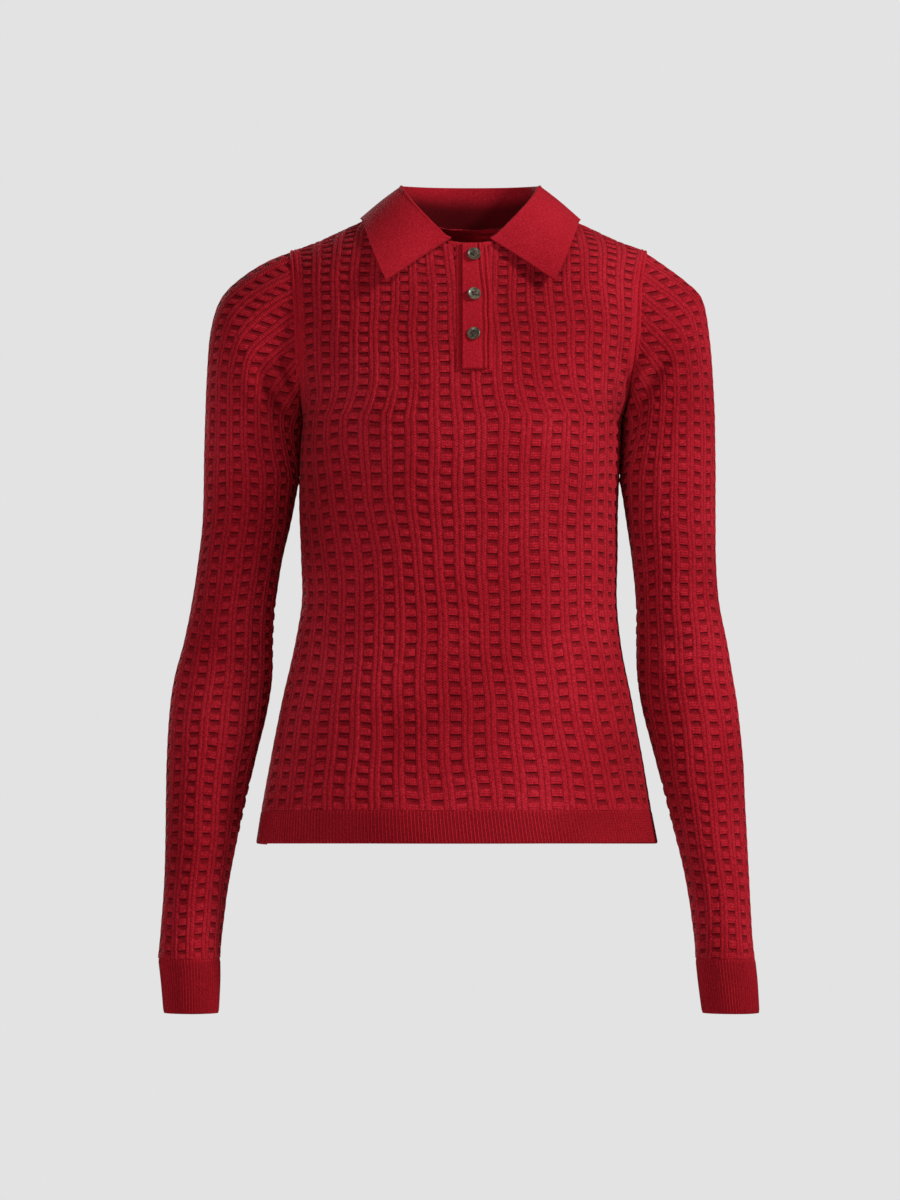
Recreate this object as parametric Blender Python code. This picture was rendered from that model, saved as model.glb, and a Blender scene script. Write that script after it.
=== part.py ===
"""Polo sweater in waffle knit, filled out and hanging as if worn, with nobody in it.

Metres, +Z up, front towards -Y, the wearer's left at +X. The origin is between the shoulders at the
base of the neck, where a wearer holds the sweater up.

The body is one surface: level sections of the trunk that round over into the shoulders. Front and back
panels, neckline, armholes, placket and collar are all read from it. A sleeve is a row of rings, from
the armhole loop down to the cuff. The knit's double ribs are raised on the outside of each wall.
"""

import math

import bpy
import numpy as np

# Cloth
WALL = 0.0026  # crest of a rib to the inside of the knit
RIB_GROOVE = 0.0007  # groove between the two strands of a rib, below the crest
PAD_DEPTH = 0.0011  # knit between two ribs, below the crest
STRAND_AT = 0.13  # a strand's crest, from the middle of its rib, as a share of the rib spacing
BAND_WALL = 0.0020  # fine knit of hem, cuffs, collar and placket
SEAM_GAP = 0.0004
CLEARANCE = 0.0004

# Trunk
HEM = -0.5126
HEM_BAND_TOP = -0.4850
HEM_FRONT_RISE = 0.0022
ARMPIT = -0.1550
SHOULDER_TIP = -0.0088
SECTION_POWER = 2.2
SHOULDER_ROUND = 0.045  # height over which the cloth turns over the shoulder
RIBS = 21  # double ribs on the front, and again on the back
HALF_RIBS = RIBS / 2
SEAM_STEADY = 0.12  # the side seams swing round the body over this distance below the armpit
SEAM_TRIM = 0.025  # rib spacings left free at each end of a panel
LOW_ROWS = 7  # from the hem band to the armpit
HIGH_ROWS = 7  # from the armpit to the shoulder, closer towards the shoulder
CROWDING = 1.7
BAND_RELIEF = 0.0004  # how far the wall of a band's rib sinks below its crest

# z, middle x, half width of the whole section, depth to the front, depth to the back, knit turned by
TRUNK = (
    # z       middle   half     front    back     turn (rib spacings towards +X)
    (-0.5126, -0.0005, 0.1708, 0.1080, 0.1120, 1.80),
    (-0.4854, -0.0010, 0.1660, 0.1070, 0.1110, 1.70),
    (-0.4420, -0.0008, 0.1584, 0.1040, 0.1080, 1.55),
    (-0.3910, -0.0004, 0.1487, 0.1000, 0.1020, 1.40),
    (-0.3400, 0.0004, 0.1381, 0.0980, 0.0950, 1.25),
    (-0.3060, 0.0015, 0.1340, 0.0985, 0.0910, 1.15),
    (-0.2720, 0.0015, 0.1347, 0.1015, 0.0900, 1.05),
    (-0.2210, 0.0010, 0.1358, 0.1125, 0.0930, 0.95),
    (-0.1700, 0.0030, 0.1365, 0.1225, 0.1000, 0.85),
    (-0.1550, 0.0040, 0.1362, 0.1228, 0.1020, 0.80),
    (-0.1190, 0.0070, 0.1480, 0.1150, 0.1040, 0.55),
    (-0.0800, 0.0085, 0.1570, 0.0990, 0.1020, 0.35),
    (-0.0360, 0.0085, 0.1630, 0.0790, 0.0945, 0.25),
    (-0.0100, 0.0095, 0.1660, 0.0680, 0.0860, 0.20),
    (0.0300, 0.0110, 0.1700, 0.0540, 0.0680, 0.15),
)

# z, half width of the panel where the armhole cuts it
ARMHOLE = (
    (-0.1550, 0.1362),
    (-0.1380, 0.1385),
    (-0.1070, 0.1412),
    (-0.0780, 0.1432),
    (-0.0360, 0.1455),
    (-0.0088, 0.1490),
)

# distance from the middle, height of the shoulder line
SHOULDER_LINE = (
    (0.000, 0.0335),
    (0.045, 0.0308),
    (0.062, 0.0262),
    (0.082, 0.0192),
    (0.095, 0.0135),
    (0.108, 0.0076),
    (0.127, -0.0010),
    (0.149, -0.0088),
)
HIGHER_SHOULDER = 0.0010  # the wearer's right shoulder line arches this much higher

NECK_X = 0.0110  # the neck leans this far towards +X
NECK_HALF = 0.0620
FRONT_NECK = -0.0055
NECK_POWER = 2.5  # the neck hole is a little squarer than an oval
BACK_NECK = 0.0125

# A sleeve's rings run from the armhole to the cuff. Each ring spans from its outer to its inner point.
# outer x and z, inner x and z, half depth front to back, middle y
SLEEVE_RIGHT = (
    # outer x  outer z  inner x  inner z  half    middle y
    (-0.1480, -0.0088, -0.1322, -0.1550, 0.0540, 0.000),
    (-0.1705, -0.0184, -0.1336, -0.1640, 0.0535, 0.000),
    (-0.1900, -0.0330, -0.1340, -0.1705, 0.0520, 0.000),
    (-0.2040, -0.0520, -0.1343, -0.1760, 0.0500, 0.000),
    (-0.2108, -0.0825, -0.1345, -0.1820, 0.0475, 0.000),
    (-0.2134, -0.1190, -0.1347, -0.1890, 0.0450, 0.000),
    (-0.2148, -0.1530, -0.1350, -0.1970, 0.0430, 0.000),
    (-0.2158, -0.1900, -0.1354, -0.2080, 0.0418, 0.000),
    (-0.2168, -0.2380, -0.1408, -0.2380, 0.0408, 0.001),
    (-0.2206, -0.2720, -0.1488, -0.2720, 0.0400, 0.003),
    (-0.2257, -0.3060, -0.1540, -0.3060, 0.0385, 0.004),
    (-0.2325, -0.3400, -0.1565, -0.3400, 0.0370, 0.005),
    (-0.2405, -0.3700, -0.1571, -0.3700, 0.0355, 0.005),
    (-0.2450, -0.4000, -0.1614, -0.4000, 0.0340, 0.003),
    (-0.2474, -0.4420, -0.1716, -0.4420, 0.0328, -0.002),
    (-0.2480, -0.4850, -0.1812, -0.4850, 0.0318, -0.008),
    (-0.2488, -0.5400, -0.1927, -0.5400, 0.0310, -0.017),
    (-0.2522, -0.5900, -0.1994, -0.5900, 0.0290, -0.024),
    (-0.2540, -0.6090, -0.2008, -0.6090, 0.0283, -0.027),
)
SLEEVE_LEFT = (
    (0.1620, -0.0088, 0.1402, -0.1550, 0.0540, 0.000),
    (0.1803, -0.0220, 0.1403, -0.1640, 0.0535, 0.000),
    (0.1968, -0.0354, 0.1402, -0.1705, 0.0520, 0.000),
    (0.2090, -0.0508, 0.1400, -0.1760, 0.0500, 0.000),
    (0.2144, -0.0825, 0.1396, -0.1820, 0.0475, 0.000),
    (0.2174, -0.1190, 0.1392, -0.1890, 0.0450, 0.000),
    (0.2190, -0.1530, 0.1388, -0.1970, 0.0430, 0.000),
    (0.2196, -0.1900, 0.1386, -0.2080, 0.0418, 0.000),
    (0.2196, -0.2380, 0.1430, -0.2380, 0.0408, 0.001),
    (0.2200, -0.2720, 0.1480, -0.2720, 0.0400, 0.003),
    (0.2224, -0.3060, 0.1513, -0.3060, 0.0385, 0.004),
    (0.2290, -0.3400, 0.1515, -0.3400, 0.0370, 0.005),
    (0.2341, -0.3700, 0.1524, -0.3700, 0.0355, 0.005),
    (0.2388, -0.4000, 0.1571, -0.4000, 0.0340, 0.003),
    (0.2429, -0.4420, 0.1680, -0.4420, 0.0328, -0.002),
    (0.2448, -0.4850, 0.1789, -0.4850, 0.0318, -0.008),
    (0.2474, -0.5400, 0.1925, -0.5400, 0.0310, -0.017),
    (0.2500, -0.5900, 0.2000, -0.5900, 0.0290, -0.024),
    (0.2520, -0.6090, 0.2012, -0.6090, 0.0283, -0.027),
)
SLEEVE_RIBS = 16
ARMHOLE_REACH = 4  # rings over which the armhole's own shape fades into the sleeve's

# Cuff: the same columns, from the sleeve's end down
CUFF_RIGHT = (
    (-0.2537, -0.6096, -0.2009, -0.6096, 0.0280, -0.0270),
    (-0.2514, -0.6290, -0.2008, -0.6290, 0.0262, -0.0295),
    (-0.2490, -0.6555, -0.2020, -0.6555, 0.0252, -0.0325),
)
CUFF_LEFT = (
    (0.2522, -0.6096, 0.2014, -0.6096, 0.0280, -0.0270),
    (0.2542, -0.6290, 0.2034, -0.6290, 0.0262, -0.0295),
    (0.2557, -0.6555, 0.2068, -0.6555, 0.0252, -0.0325),
)

# Soft troughs of the cloth, seen from the front or the back, as straight lines with rounded ends
FOLDS = (
    # side  x from   z from   x to     z to     width   depth
    (-1, -0.1660, -0.1120, -0.1400, -0.1500, 0.0075, 0.0050),
    (-1, -0.1465, -0.1030, -0.1345, -0.1420, 0.0060, 0.0045),
    (-1, 0.1760, -0.1040, 0.1530, -0.1400, 0.0075, 0.0050),
    (-1, 0.1340, -0.0880, 0.1450, -0.1380, 0.0075, 0.0045),
    (-1, 0.1230, -0.1120, 0.1370, -0.1500, 0.0060, 0.0030),
    (-1, -0.2300, -0.3350, -0.1800, -0.3560, 0.0110, 0.0030),
    (-1, 0.1650, -0.3380, 0.2200, -0.3600, 0.0110, 0.0030),
    (1, -0.1720, -0.1080, -0.1440, -0.1480, 0.0080, 0.0045),
    (1, -0.1260, -0.1000, -0.1300, -0.1420, 0.0070, 0.0035),
    (1, 0.1780, -0.1100, 0.1520, -0.1470, 0.0080, 0.0045),
    (1, 0.1340, -0.0960, 0.1380, -0.1400, 0.0070, 0.0035),
    (1, -0.2050, -0.3450, -0.1650, -0.3620, 0.0110, 0.0030),
    (1, 0.1620, -0.3520, 0.2080, -0.3650, 0.0110, 0.0030),
)

# Collar, from the back middle to the front end of one leaf. Distances are from the neck's middle.
COLLAR = (
    # angle  fold z   outer x  outer y   outer z
    (180.0, 0.0455, 0.0000, 0.0930, 0.0010),
    (150.0, 0.0456, 0.0480, 0.0860, 0.0060),
    (120.0, 0.0456, 0.0800, 0.0560, 0.0140),
    (92.0, 0.0446, 0.0938, 0.0080, 0.0182),
    (78.0, 0.0436, 0.0925, -0.0180, 0.0160),
    (60.0, 0.0340, 0.0890, -0.0440, 0.0062),
    (43.8, 0.0225, 0.0835, -0.0625, -0.0085),
    (27.9, 0.0085, 0.0772, -0.0765, -0.0235),
    (15.9, -0.0030, 0.0712, -0.0860, -0.0365),
)
COLLAR_STEPS = 15  # along half the collar
COLLAR_FOLD_ROOM = 0.0030  # the leaf turns over with this much air inside
COLLAR_SEAM = 0.0011  # the stand starts this far above the neckline
STAND_INSET = 0.0010  # the stand's outside lies this far inside the neckline
STAND_SWELL = 0.0004
STAND_LEAST = 0.0018  # lowest stand, at the front
FOLD_INSET = 0.0005
COLLAR_LEAN = 0.0030  # the fold stands this much nearer the neck at the sides
LEAF_SWELL = 0.0006
LEAF_DROP = 0.0006  # the leaf lies this much lower on the wearer's left, higher on the right

# Placket
PLACKET_BOTTOM = -0.1126
PLACKET_LEFT = 0.0036
PLACKET_RIGHT_TOP = 0.0195
PLACKET_RIGHT_BOTTOM = 0.0247
UNDER_SHIFT = 0.0045  # the under band reaches this far beyond the top band at the neck
UNDER_GAP = 0.0012  # between the front's inside and the under band
STRIP_ROWS = 9
STRIP_COLUMNS = 5

# Buttons: height of each middle
BUTTONS = (-0.0158, -0.0500, -0.0838)
BUTTON_X = 0.0137
BUTTON_ACROSS = 0.0114
BUTTON_THICK = 0.0022
BUTTON_RIM = 0.0013
BUTTON_DISH = 0.0006
BUTTON_SIDES = 16
HOLE_ACROSS = 0.0014
HOLE_SPACING = 0.0027
BUTTON_LIFT = 0.0006  # above the placket


# ---------------------------------------------------------------------------- curves

def spline(knots, values, at):
    """A smooth curve through values at rising knots, read at the places asked for."""
    knots = np.asarray(knots, float)
    values = np.asarray(values, float)
    at = np.clip(at, knots[0], knots[-1])
    steps = np.diff(knots)
    slopes = np.diff(values) / steps
    tangents = np.empty_like(values)
    tangents[0] = slopes[0]
    tangents[-1] = slopes[-1]
    tangents[1:-1] = (slopes[:-1] * steps[1:] + slopes[1:] * steps[:-1]) / (steps[1:] + steps[:-1])
    k = np.clip(np.searchsorted(knots, at, side="right") - 1, 0, len(knots) - 2)
    t = (at - knots[k]) / steps[k]
    return (
        values[k] * (1 + 2 * t) * (1 - t) ** 2
        + tangents[k] * steps[k] * t * (1 - t) ** 2
        + values[k + 1] * t ** 2 * (3 - 2 * t)
        + tangents[k + 1] * steps[k] * t ** 2 * (t - 1)
    )


def column(table, index):
    return np.array([row[index] for row in table])


def trunk(name, z):
    """One measure of the trunk at height z."""
    index = {"middle": 1, "half": 2, "front": 3, "back": 4, "turn": 5}[name]
    return spline(column(TRUNK, 0), column(TRUNK, index), z)


def ease(t):
    t = np.clip(t, 0, 1)
    return t * t * (3 - 2 * t)


# ---------------------------------------------------------------------------- the body's surface

def shoulder_line(across):
    line = spline(column(SHOULDER_LINE, 0), column(SHOULDER_LINE, 1), np.abs(across))
    share = np.clip(-across / column(SHOULDER_LINE, 0)[-1], 0, 1)
    return line + HIGHER_SHOULDER * np.sin(np.pi * share)


def body_y(side, across, z):
    """Depth of the body's surface. across is measured from the section's middle; side is -1 or 1."""
    depth = np.where(side < 0, trunk("front", z), trunk("back", z))
    share = np.clip(np.abs(across) / trunk("half", z), 0, 1)
    arch = (1 - share ** SECTION_POWER) ** (1 / SECTION_POWER)
    down = np.clip((shoulder_line(across) - z) / SHOULDER_ROUND, 0, 1)
    turned = (1 - (1 - down) ** SECTION_POWER) ** (1 / SECTION_POWER)
    return side * depth * arch * turned


def panel_half(z):
    """Half width of a panel: to the side seam, or to the armhole above the armpit."""
    above = spline(column(ARMHOLE, 0), column(ARMHOLE, 1), z)
    return np.where(z > ARMPIT, above, trunk("half", z))


def neckline(side, across):
    """Height where the round neck hole, seen from above, meets the body's surface."""
    low = FRONT_NECK if side < 0 else BACK_NECK
    reach = np.abs(body_y(side, np.zeros(1), np.full(1, low)))
    share = np.clip(np.abs(across) / NECK_HALF, 0, 1)
    wanted = reach * (1 - share ** NECK_POWER) ** (1 / NECK_POWER)
    under = np.full(np.shape(across), low - 0.02)
    over = shoulder_line(across)
    for _ in range(30):
        z = (under + over) / 2
        deeper = np.abs(body_y(side, across, z)) > wanted
        under = np.where(deeper, z, under)
        over = np.where(deeper, over, z)
    return (under + over) / 2


def top_edge(side, across):
    """Height of a panel's top edge: the shoulder seam, and the neckline inside it."""
    return np.where(np.abs(across) < NECK_HALF, neckline(side, across), shoulder_line(across))


def rows_of_panel():
    """Rows as (height below the armpit, or None; share of the way from armpit to top edge)."""
    low = [(z, 0.0) for z in np.linspace(HEM_BAND_TOP + SEAM_GAP, ARMPIT, LOW_ROWS + 1)]
    shares = 1 - (1 - np.linspace(0, 1, HIGH_ROWS + 1)[1:]) ** CROWDING
    return low + [(None, v) for v in shares]


def half_section(side, z, v):
    """Points across one side of the body, from -X to +X, at height z or at share v above the armpit."""
    angle = np.linspace(-math.pi / 2, math.pi / 2, 241)
    if z is None:
        edge = ARMPIT + v * (SHOULDER_TIP - ARMPIT)
        across = float(panel_half(edge)) * np.sin(angle)
        heights = ARMPIT + v * (top_edge(side, across) - ARMPIT)
    else:
        across = float(panel_half(z)) * np.sin(angle)
        heights = np.full(len(angle), z)
    middle = trunk("middle", heights)
    return np.stack([middle + across, body_y(side, across, heights), heights], axis=1)


def along(points, at, whole):
    """Points read at equal shares of a line's length; at runs from 0 to whole."""
    lengths = np.concatenate([[0], np.cumsum(np.linalg.norm(np.diff(points, axis=0), axis=1))])
    places = np.asarray(at) / whole * lengths[-1]
    return np.stack([np.interp(places, lengths, points[:, k]) for k in range(3)], axis=1)


def panel_row(side, z, v, ribs):
    """Points of one row of a panel at the given ribs, which count from the panel's middle."""
    height = ARMPIT + v * (SHOULDER_TIP - ARMPIT) if z is None else z
    turn = float(trunk("turn", height))
    steady = float(ease(1 - (ARMPIT - height) / SEAM_STEADY))
    shifted = ribs + turn * (1 - steady * (ribs / HALF_RIBS) ** 2) * side * -1
    if z is None or steady >= 1:
        return along(half_section(side, z, v), shifted + HALF_RIBS, RIBS)
    front = half_section(-1, z, v)
    back = half_section(1, z, v)
    this, other = (front, back) if side < 0 else (back, front)
    before = other[::-1][:-1]
    ring = np.concatenate([before, this, other[::-1][1:]])
    lengths = np.concatenate([[0], np.cumsum(np.linalg.norm(np.diff(ring, axis=0), axis=1))])
    start = lengths[len(before)]
    own = lengths[len(before) + len(this) - 1] - start
    places = start + (shifted + HALF_RIBS) / RIBS * own
    return np.stack([np.interp(places, lengths, ring[:, k]) for k in range(3)], axis=1)


def panel_base(side, ribs):
    """The panel's crest surface as an array of rows by ribs, seam allowances left out."""
    base = np.array([panel_row(side, z, v, ribs) for z, v in rows_of_panel()])
    base[..., 1] += side * CLEARANCE / 2
    if side < 0:
        rise = HEM_FRONT_RISE * ease((HEM_BAND_TOP + 0.10 - base[..., 2]) / 0.10)
        front = np.clip(-base[..., 1] / 0.10, 0, 1)
        base[..., 2] += rise * front
    return base


# ---------------------------------------------------------------------------- folds and walls

def normals_of(grid, closed):
    """Outward unit normals of a grid of rows by columns, whose columns may close into a ring."""
    up = np.gradient(grid, axis=0)
    if closed:
        round_it = (np.roll(grid, -1, axis=1) - np.roll(grid, 1, axis=1)) / 2
    else:
        round_it = np.gradient(grid, axis=1)
    normal = np.cross(round_it, up)
    return normal / np.maximum(np.linalg.norm(normal, axis=-1, keepdims=True), 1e-12)


def fold_depth(points):
    """How far the folds sink the cloth at each point."""
    depth = np.zeros(points.shape[:-1])
    for side, x0, z0, x1, z1, width, deep in FOLDS:
        run = np.array([x1 - x0, z1 - z0])
        length = np.linalg.norm(run)
        from_start = np.stack([points[..., 0] - x0, points[..., 2] - z0], axis=-1)
        share = np.clip(from_start @ run / length ** 2, 0, 1)
        off = from_start - share[..., None] * run
        distance = np.linalg.norm(off, axis=-1)
        taper = np.sin(np.pi * np.clip(0.15 + 0.7 * share, 0, 1))
        facing = ease(points[..., 1] * side / 0.02)
        depth += deep * np.exp(-((distance / width) ** 2)) * taper * facing
    return depth


def sink(grid, closed, depth):
    return grid - normals_of(grid, closed) * np.asarray(depth)[..., None]


def rib_profile(ribs):
    """Depth below the crest across the double ribs: crest, groove, crest, pad."""
    near = np.abs(ribs - np.round(ribs))
    return np.interp(near, [0, STRAND_AT, 0.5], [RIB_GROOVE, 0, PAD_DEPTH])


def rib_places(count, first):
    """Across count ribs from first: pad, strand, groove, strand, and the last pad."""
    steps = np.array([0, 0.5 - STRAND_AT, 0.5, 0.5 + STRAND_AT])
    places = (np.arange(count)[:, None] + steps).reshape(-1) + first
    return np.append(places, first + count)


def shell(name, outer, inner, closed=False, kept=None):
    """A wall between an outer grid and an inner one with fewer columns, as one closed body.

    Each inner column spans the same number of outer columns. kept marks the blocks that are there.
    """
    rows, fine = outer.shape[:2]
    coarse = inner.shape[1]
    blocks = coarse if closed else coarse - 1
    each = (fine if closed else fine - 1) // blocks
    kept = np.ones((rows - 1, blocks), bool) if kept is None else kept
    points = np.concatenate([outer.reshape(-1, 3), inner.reshape(-1, 3)])

    def out(row, col):
        return row * fine + (col % fine if closed else col)

    def inn(row, col):
        return rows * fine + row * coarse + (col % coarse if closed else col)

    def there(row, block):
        if not 0 <= row < rows - 1:
            return False
        if closed:
            return kept[row, block % blocks]
        return 0 <= block < blocks and kept[row, block]

    faces = []
    for row in range(rows - 1):
        for block in range(blocks):
            if not there(row, block):
                continue
            first = block * each
            last = first + each
            low = [out(row, col) for col in range(first, last + 1)]
            high = [out(row + 1, col) for col in range(first, last + 1)]
            low_left, low_right = inn(row, block), inn(row, block + 1)
            high_left, high_right = inn(row + 1, block), inn(row + 1, block + 1)
            faces += [(low[k], low[k + 1], high[k + 1], high[k]) for k in range(each)]
            faces.append((low_left, high_left, high_right, low_right))
            if not there(row - 1, block):
                faces.append((*low[::-1], low_left, low_right))
            if not there(row + 1, block):
                faces.append((*high, high_right, high_left))
            if not there(row, block - 1):
                faces.append((low[0], high[0], high_left, low_left))
            if not there(row, block + 1):
                faces.append((high[-1], low[-1], low_right, high_right))
    return make_object(name, points, faces)


def make_object(name, points, faces):
    used = sorted({corner for face in faces for corner in face})
    renumber = {old: new for new, old in enumerate(used)}
    mesh = bpy.data.meshes.new(name)
    corners = [tuple(map(float, points[k])) for k in used]
    mesh.from_pydata(corners, [], [[renumber[k] for k in face] for face in faces])
    mesh.validate()
    mesh.shade_smooth()
    mesh.set_sharp_from_angle(angle=math.radians(50))
    thing = bpy.data.objects.new(name, mesh)
    bpy.context.scene.collection.objects.link(thing)
    return thing


def wall_between(name, base, closed, relief, each, thickness, kept=None, side=0):
    """A wall whose outside follows base less the relief, over a plain inside.

    A panel's side keeps its wall on its own side of the shoulder seam.
    """
    folded = sink(base, closed, fold_depth(base))
    outer = sink(folded, closed, np.broadcast_to(relief, base.shape[:2]))
    inner = sink(folded, closed, np.full(base.shape[:2], thickness))[:, ::each]
    for grid in (outer, inner) if side else ():
        high = grid[..., 2] > ARMPIT + 0.03
        own = side * np.maximum(side * grid[..., 1], CLEARANCE / 2)
        grid[..., 1] = np.where(high, own, grid[..., 1])
    return shell(name, outer, inner, closed, kept)


# ---------------------------------------------------------------------------- materials

def material(name, colour, roughness, metallic=0.0):
    made = bpy.data.materials.new(name)
    made.use_nodes = True
    shader = made.node_tree.nodes["Principled BSDF"]
    shader.inputs["Base Color"].default_value = (*colour, 1)
    shader.inputs["Roughness"].default_value = roughness
    shader.inputs["Metallic"].default_value = metallic
    return made


# ---------------------------------------------------------------------------- pieces

def panel_ribs():
    """Rib places of a panel, its two ends drawn in for the side seams."""
    places = rib_places(RIBS, -HALF_RIBS)
    places[0] += SEAM_TRIM
    places[-1] -= SEAM_TRIM
    return places


def front_panel(knit):
    """The front, slit down the rib behind the placket."""
    places = panel_ribs()
    base = panel_base(-1, places)
    kept = np.ones((LOW_ROWS + HIGH_ROWS, RIBS), bool)
    kept[placket_row():, RIBS // 2] = False
    panel = wall_between("front_panel", base, False, rib_profile(places), 4, WALL, kept, -1)
    panel.data.materials.append(knit)


def placket_row():
    """The first row above the placket's foot, where the slit begins."""
    heights = []
    for z, v in rows_of_panel():
        heights.append(ARMPIT + v * (FRONT_NECK - ARMPIT) if z is None else z)
    return next(k for k, z in enumerate(heights) if z > PLACKET_BOTTOM + 0.002)


def back_panel(knit):
    places = panel_ribs()
    base = panel_base(1, -places)
    panel = wall_between("back_panel", base, False, rib_profile(places), 4, WALL, None, 1)
    panel.data.materials.append(knit)


def hem_band(name, side, knit):
    """Fine ribbed band below a panel."""
    end = HALF_RIBS - SEAM_TRIM
    places = np.linspace(-end, end, 2 * RIBS + 1) * -side
    heights = np.linspace(HEM, HEM_BAND_TOP - SEAM_GAP, 3)
    base = np.array([panel_row(side, z, 0.0, places) for z in heights])
    base[..., 1] += side * CLEARANCE / 2
    if side < 0:
        base[..., 2] += HEM_FRONT_RISE * np.clip(-base[..., 1] / 0.10, 0, 1)
    band = wall_between(name, base, False, BAND_RELIEF, 2, BAND_WALL + BAND_RELIEF)
    band.data.materials.append(knit)


def ring_points(row, ribs, count):
    """Points round one ring of a sleeve. Rib 0 lies outermost, and the count runs to the front."""
    outer_x, outer_z, inner_x, inner_z, half, middle_y = row
    angle = np.linspace(0, 2 * math.pi, 361)
    middle = np.array([(outer_x + inner_x) / 2, middle_y, (outer_z + inner_z) / 2])
    reach = np.array([outer_x, middle_y, outer_z]) - middle
    depth = np.array([0.0, -half, 0.0])
    ring = middle + np.cos(angle)[:, None] * reach + np.sin(angle)[:, None] * depth
    return along(ring, np.mod(ribs, count), count)


def armhole_loop(direction, ribs, count):
    """Points of the armhole's edge. Rib 0 lies at the shoulder tip, and the count runs to the front."""
    shares = (1 - np.cos(np.linspace(0, math.pi, 121))) / 2
    heights = ARMPIT + shares * (SHOULDER_TIP - ARMPIT)
    across = panel_half(heights)
    x = trunk("middle", heights) + direction * across
    front = np.stack([x, body_y(-1, across, heights), heights], axis=1)
    back = np.stack([x, body_y(1, across, heights), heights], axis=1)
    half = count / 2
    wrapped = np.mod(ribs, count)
    on_front = wrapped <= half
    down_front = along(front[::-1], np.where(on_front, wrapped, 0), half)
    up_back = along(back, np.where(on_front, 0, wrapped - half), half)
    return np.where(on_front[:, None], down_front, up_back)


def sleeve_base(rings, direction, ribs):
    """The sleeve's crest surface, from the cuff end up to the armhole."""
    loop = armhole_loop(direction, ribs, SLEEVE_RIBS)
    loop[:, 0] += direction * SEAM_GAP
    first = ring_points(rings[0], ribs, SLEEVE_RIBS)
    rows = []
    for k, row in enumerate(rings):
        fade = float(ease(1 - k / ARMHOLE_REACH))
        rows.append(ring_points(row, ribs, SLEEVE_RIBS) + fade * (loop - first))
    return np.array(rows[::-1])


def sleeve(name, rings, direction, knit):
    places = rib_places(SLEEVE_RIBS, -0.5)[:-1]
    ordered = places if direction > 0 else -places
    base = sleeve_base(rings, direction, -ordered)
    tube = wall_between(name, base, True, rib_profile(places), 4, WALL)
    tube.data.materials.append(knit)


def cuff(name, rings, direction, knit):
    places = np.linspace(0, SLEEVE_RIBS, 2 * SLEEVE_RIBS + 1)[:-1]
    ordered = places if direction > 0 else -places
    base = np.array([ring_points(row, -ordered, SLEEVE_RIBS) for row in rings[::-1]])
    tube = wall_between(name, base, True, BAND_RELIEF, 2, BAND_WALL + BAND_RELIEF)
    tube.data.materials.append(knit)


def neck_point(angle, hand):
    """The neckline at an angle round the neck: 0 in front, 90 at the side hand points to, 180 behind."""
    across = NECK_HALF * hand * np.sin(np.radians(angle))
    front = np.abs(angle) < 90
    z = np.where(front, top_edge(-1, across), top_edge(1, across))
    y = np.where(front, body_y(-1, across, z), body_y(1, across, z))
    return np.stack([NECK_X + across, y, z], axis=-1)


def collar(knit):
    """A folded collar: a stand up from the neckline, and a leaf that turns over and lies outside."""
    ends = column(COLLAR, 0)
    half = np.linspace(ends[-1], ends[0], COLLAR_STEPS + 1)
    turn = np.concatenate([half, 360 - half[::-1][1:]])
    angle = np.minimum(turn, 360 - turn)
    hand = np.where(turn <= 180, 1.0, -1.0)
    rising = slice(None, None, -1)
    fold_z = spline(ends[rising], column(COLLAR, 1)[rising], angle)
    out_x = spline(ends[rising], column(COLLAR, 2)[rising], angle) * hand + NECK_X
    out_y = spline(ends[rising], column(COLLAR, 3)[rising], angle)
    out_z = spline(ends[rising], column(COLLAR, 4)[rising], angle)
    root = neck_point(angle, hand)
    inward = np.stack([NECK_X - root[:, 0], -root[:, 1], np.zeros(len(root))], axis=1)
    inward /= np.linalg.norm(inward, axis=1, keepdims=True)
    seam = root + inward * STAND_INSET + np.array([0, 0, COLLAR_SEAM])
    sideways = np.sin(np.radians(angle))
    fold = seam + inward * (FOLD_INSET + COLLAR_LEAN * sideways ** 4)[:, None]
    fold[:, 2] = np.maximum(fold_z, seam[:, 2] + STAND_LEAST)
    tip = np.stack([out_x, out_y, out_z - LEAF_DROP * hand * sideways], axis=1)
    rows = [seam, seam * 0.5 + fold * 0.5 + inward * STAND_SWELL]
    room = COLLAR_FOLD_ROOM
    for turned in np.linspace(0, math.pi, 5):
        out = -inward * room / 2 * (1 - math.cos(turned))
        up = np.array([0, 0, room / 2 * math.sin(turned)])
        rows.append(fold + out + up)
    start = rows[-1]
    bulge = -inward * LEAF_SWELL + np.array([0, 0, LEAF_SWELL])
    for share in (0.2, 0.4, 0.6, 0.8, 1.0):
        swell = math.sin(math.pi * share) * (1 - share) ** 0.3
        rows.append(start * (1 - share) + tip * share + bulge * swell)
    base = np.array(rows)[:, ::-1]
    leaf = wall_between("collar", base, False, 0.0, 1, BAND_WALL)
    leaf.data.materials.append(knit)


def strip(name, left, right, top, bottom, lift, knit):
    """A band on the front, made from the front's own points moved out by lift."""
    rows, columns = STRIP_ROWS, STRIP_COLUMNS
    across = np.linspace(0, 1, columns)
    grid = np.empty((rows, columns, 3))
    for k, down in enumerate(np.linspace(1, 0, rows)):
        z = top + (bottom - top) * down
        x = left + (right(down) - left) * across
        grid[k, :, 0] = x
        grid[k, :, 1] = body_y(-1, x - trunk("middle", z), np.full(columns, z))
        grid[k, :, 2] = z
    outer = sink(grid, False, np.full((rows, columns), -lift - BAND_WALL))
    inner = sink(grid, False, np.full((rows, columns), -lift))
    band = shell(name, outer, inner)
    band.data.materials.append(knit)


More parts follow.
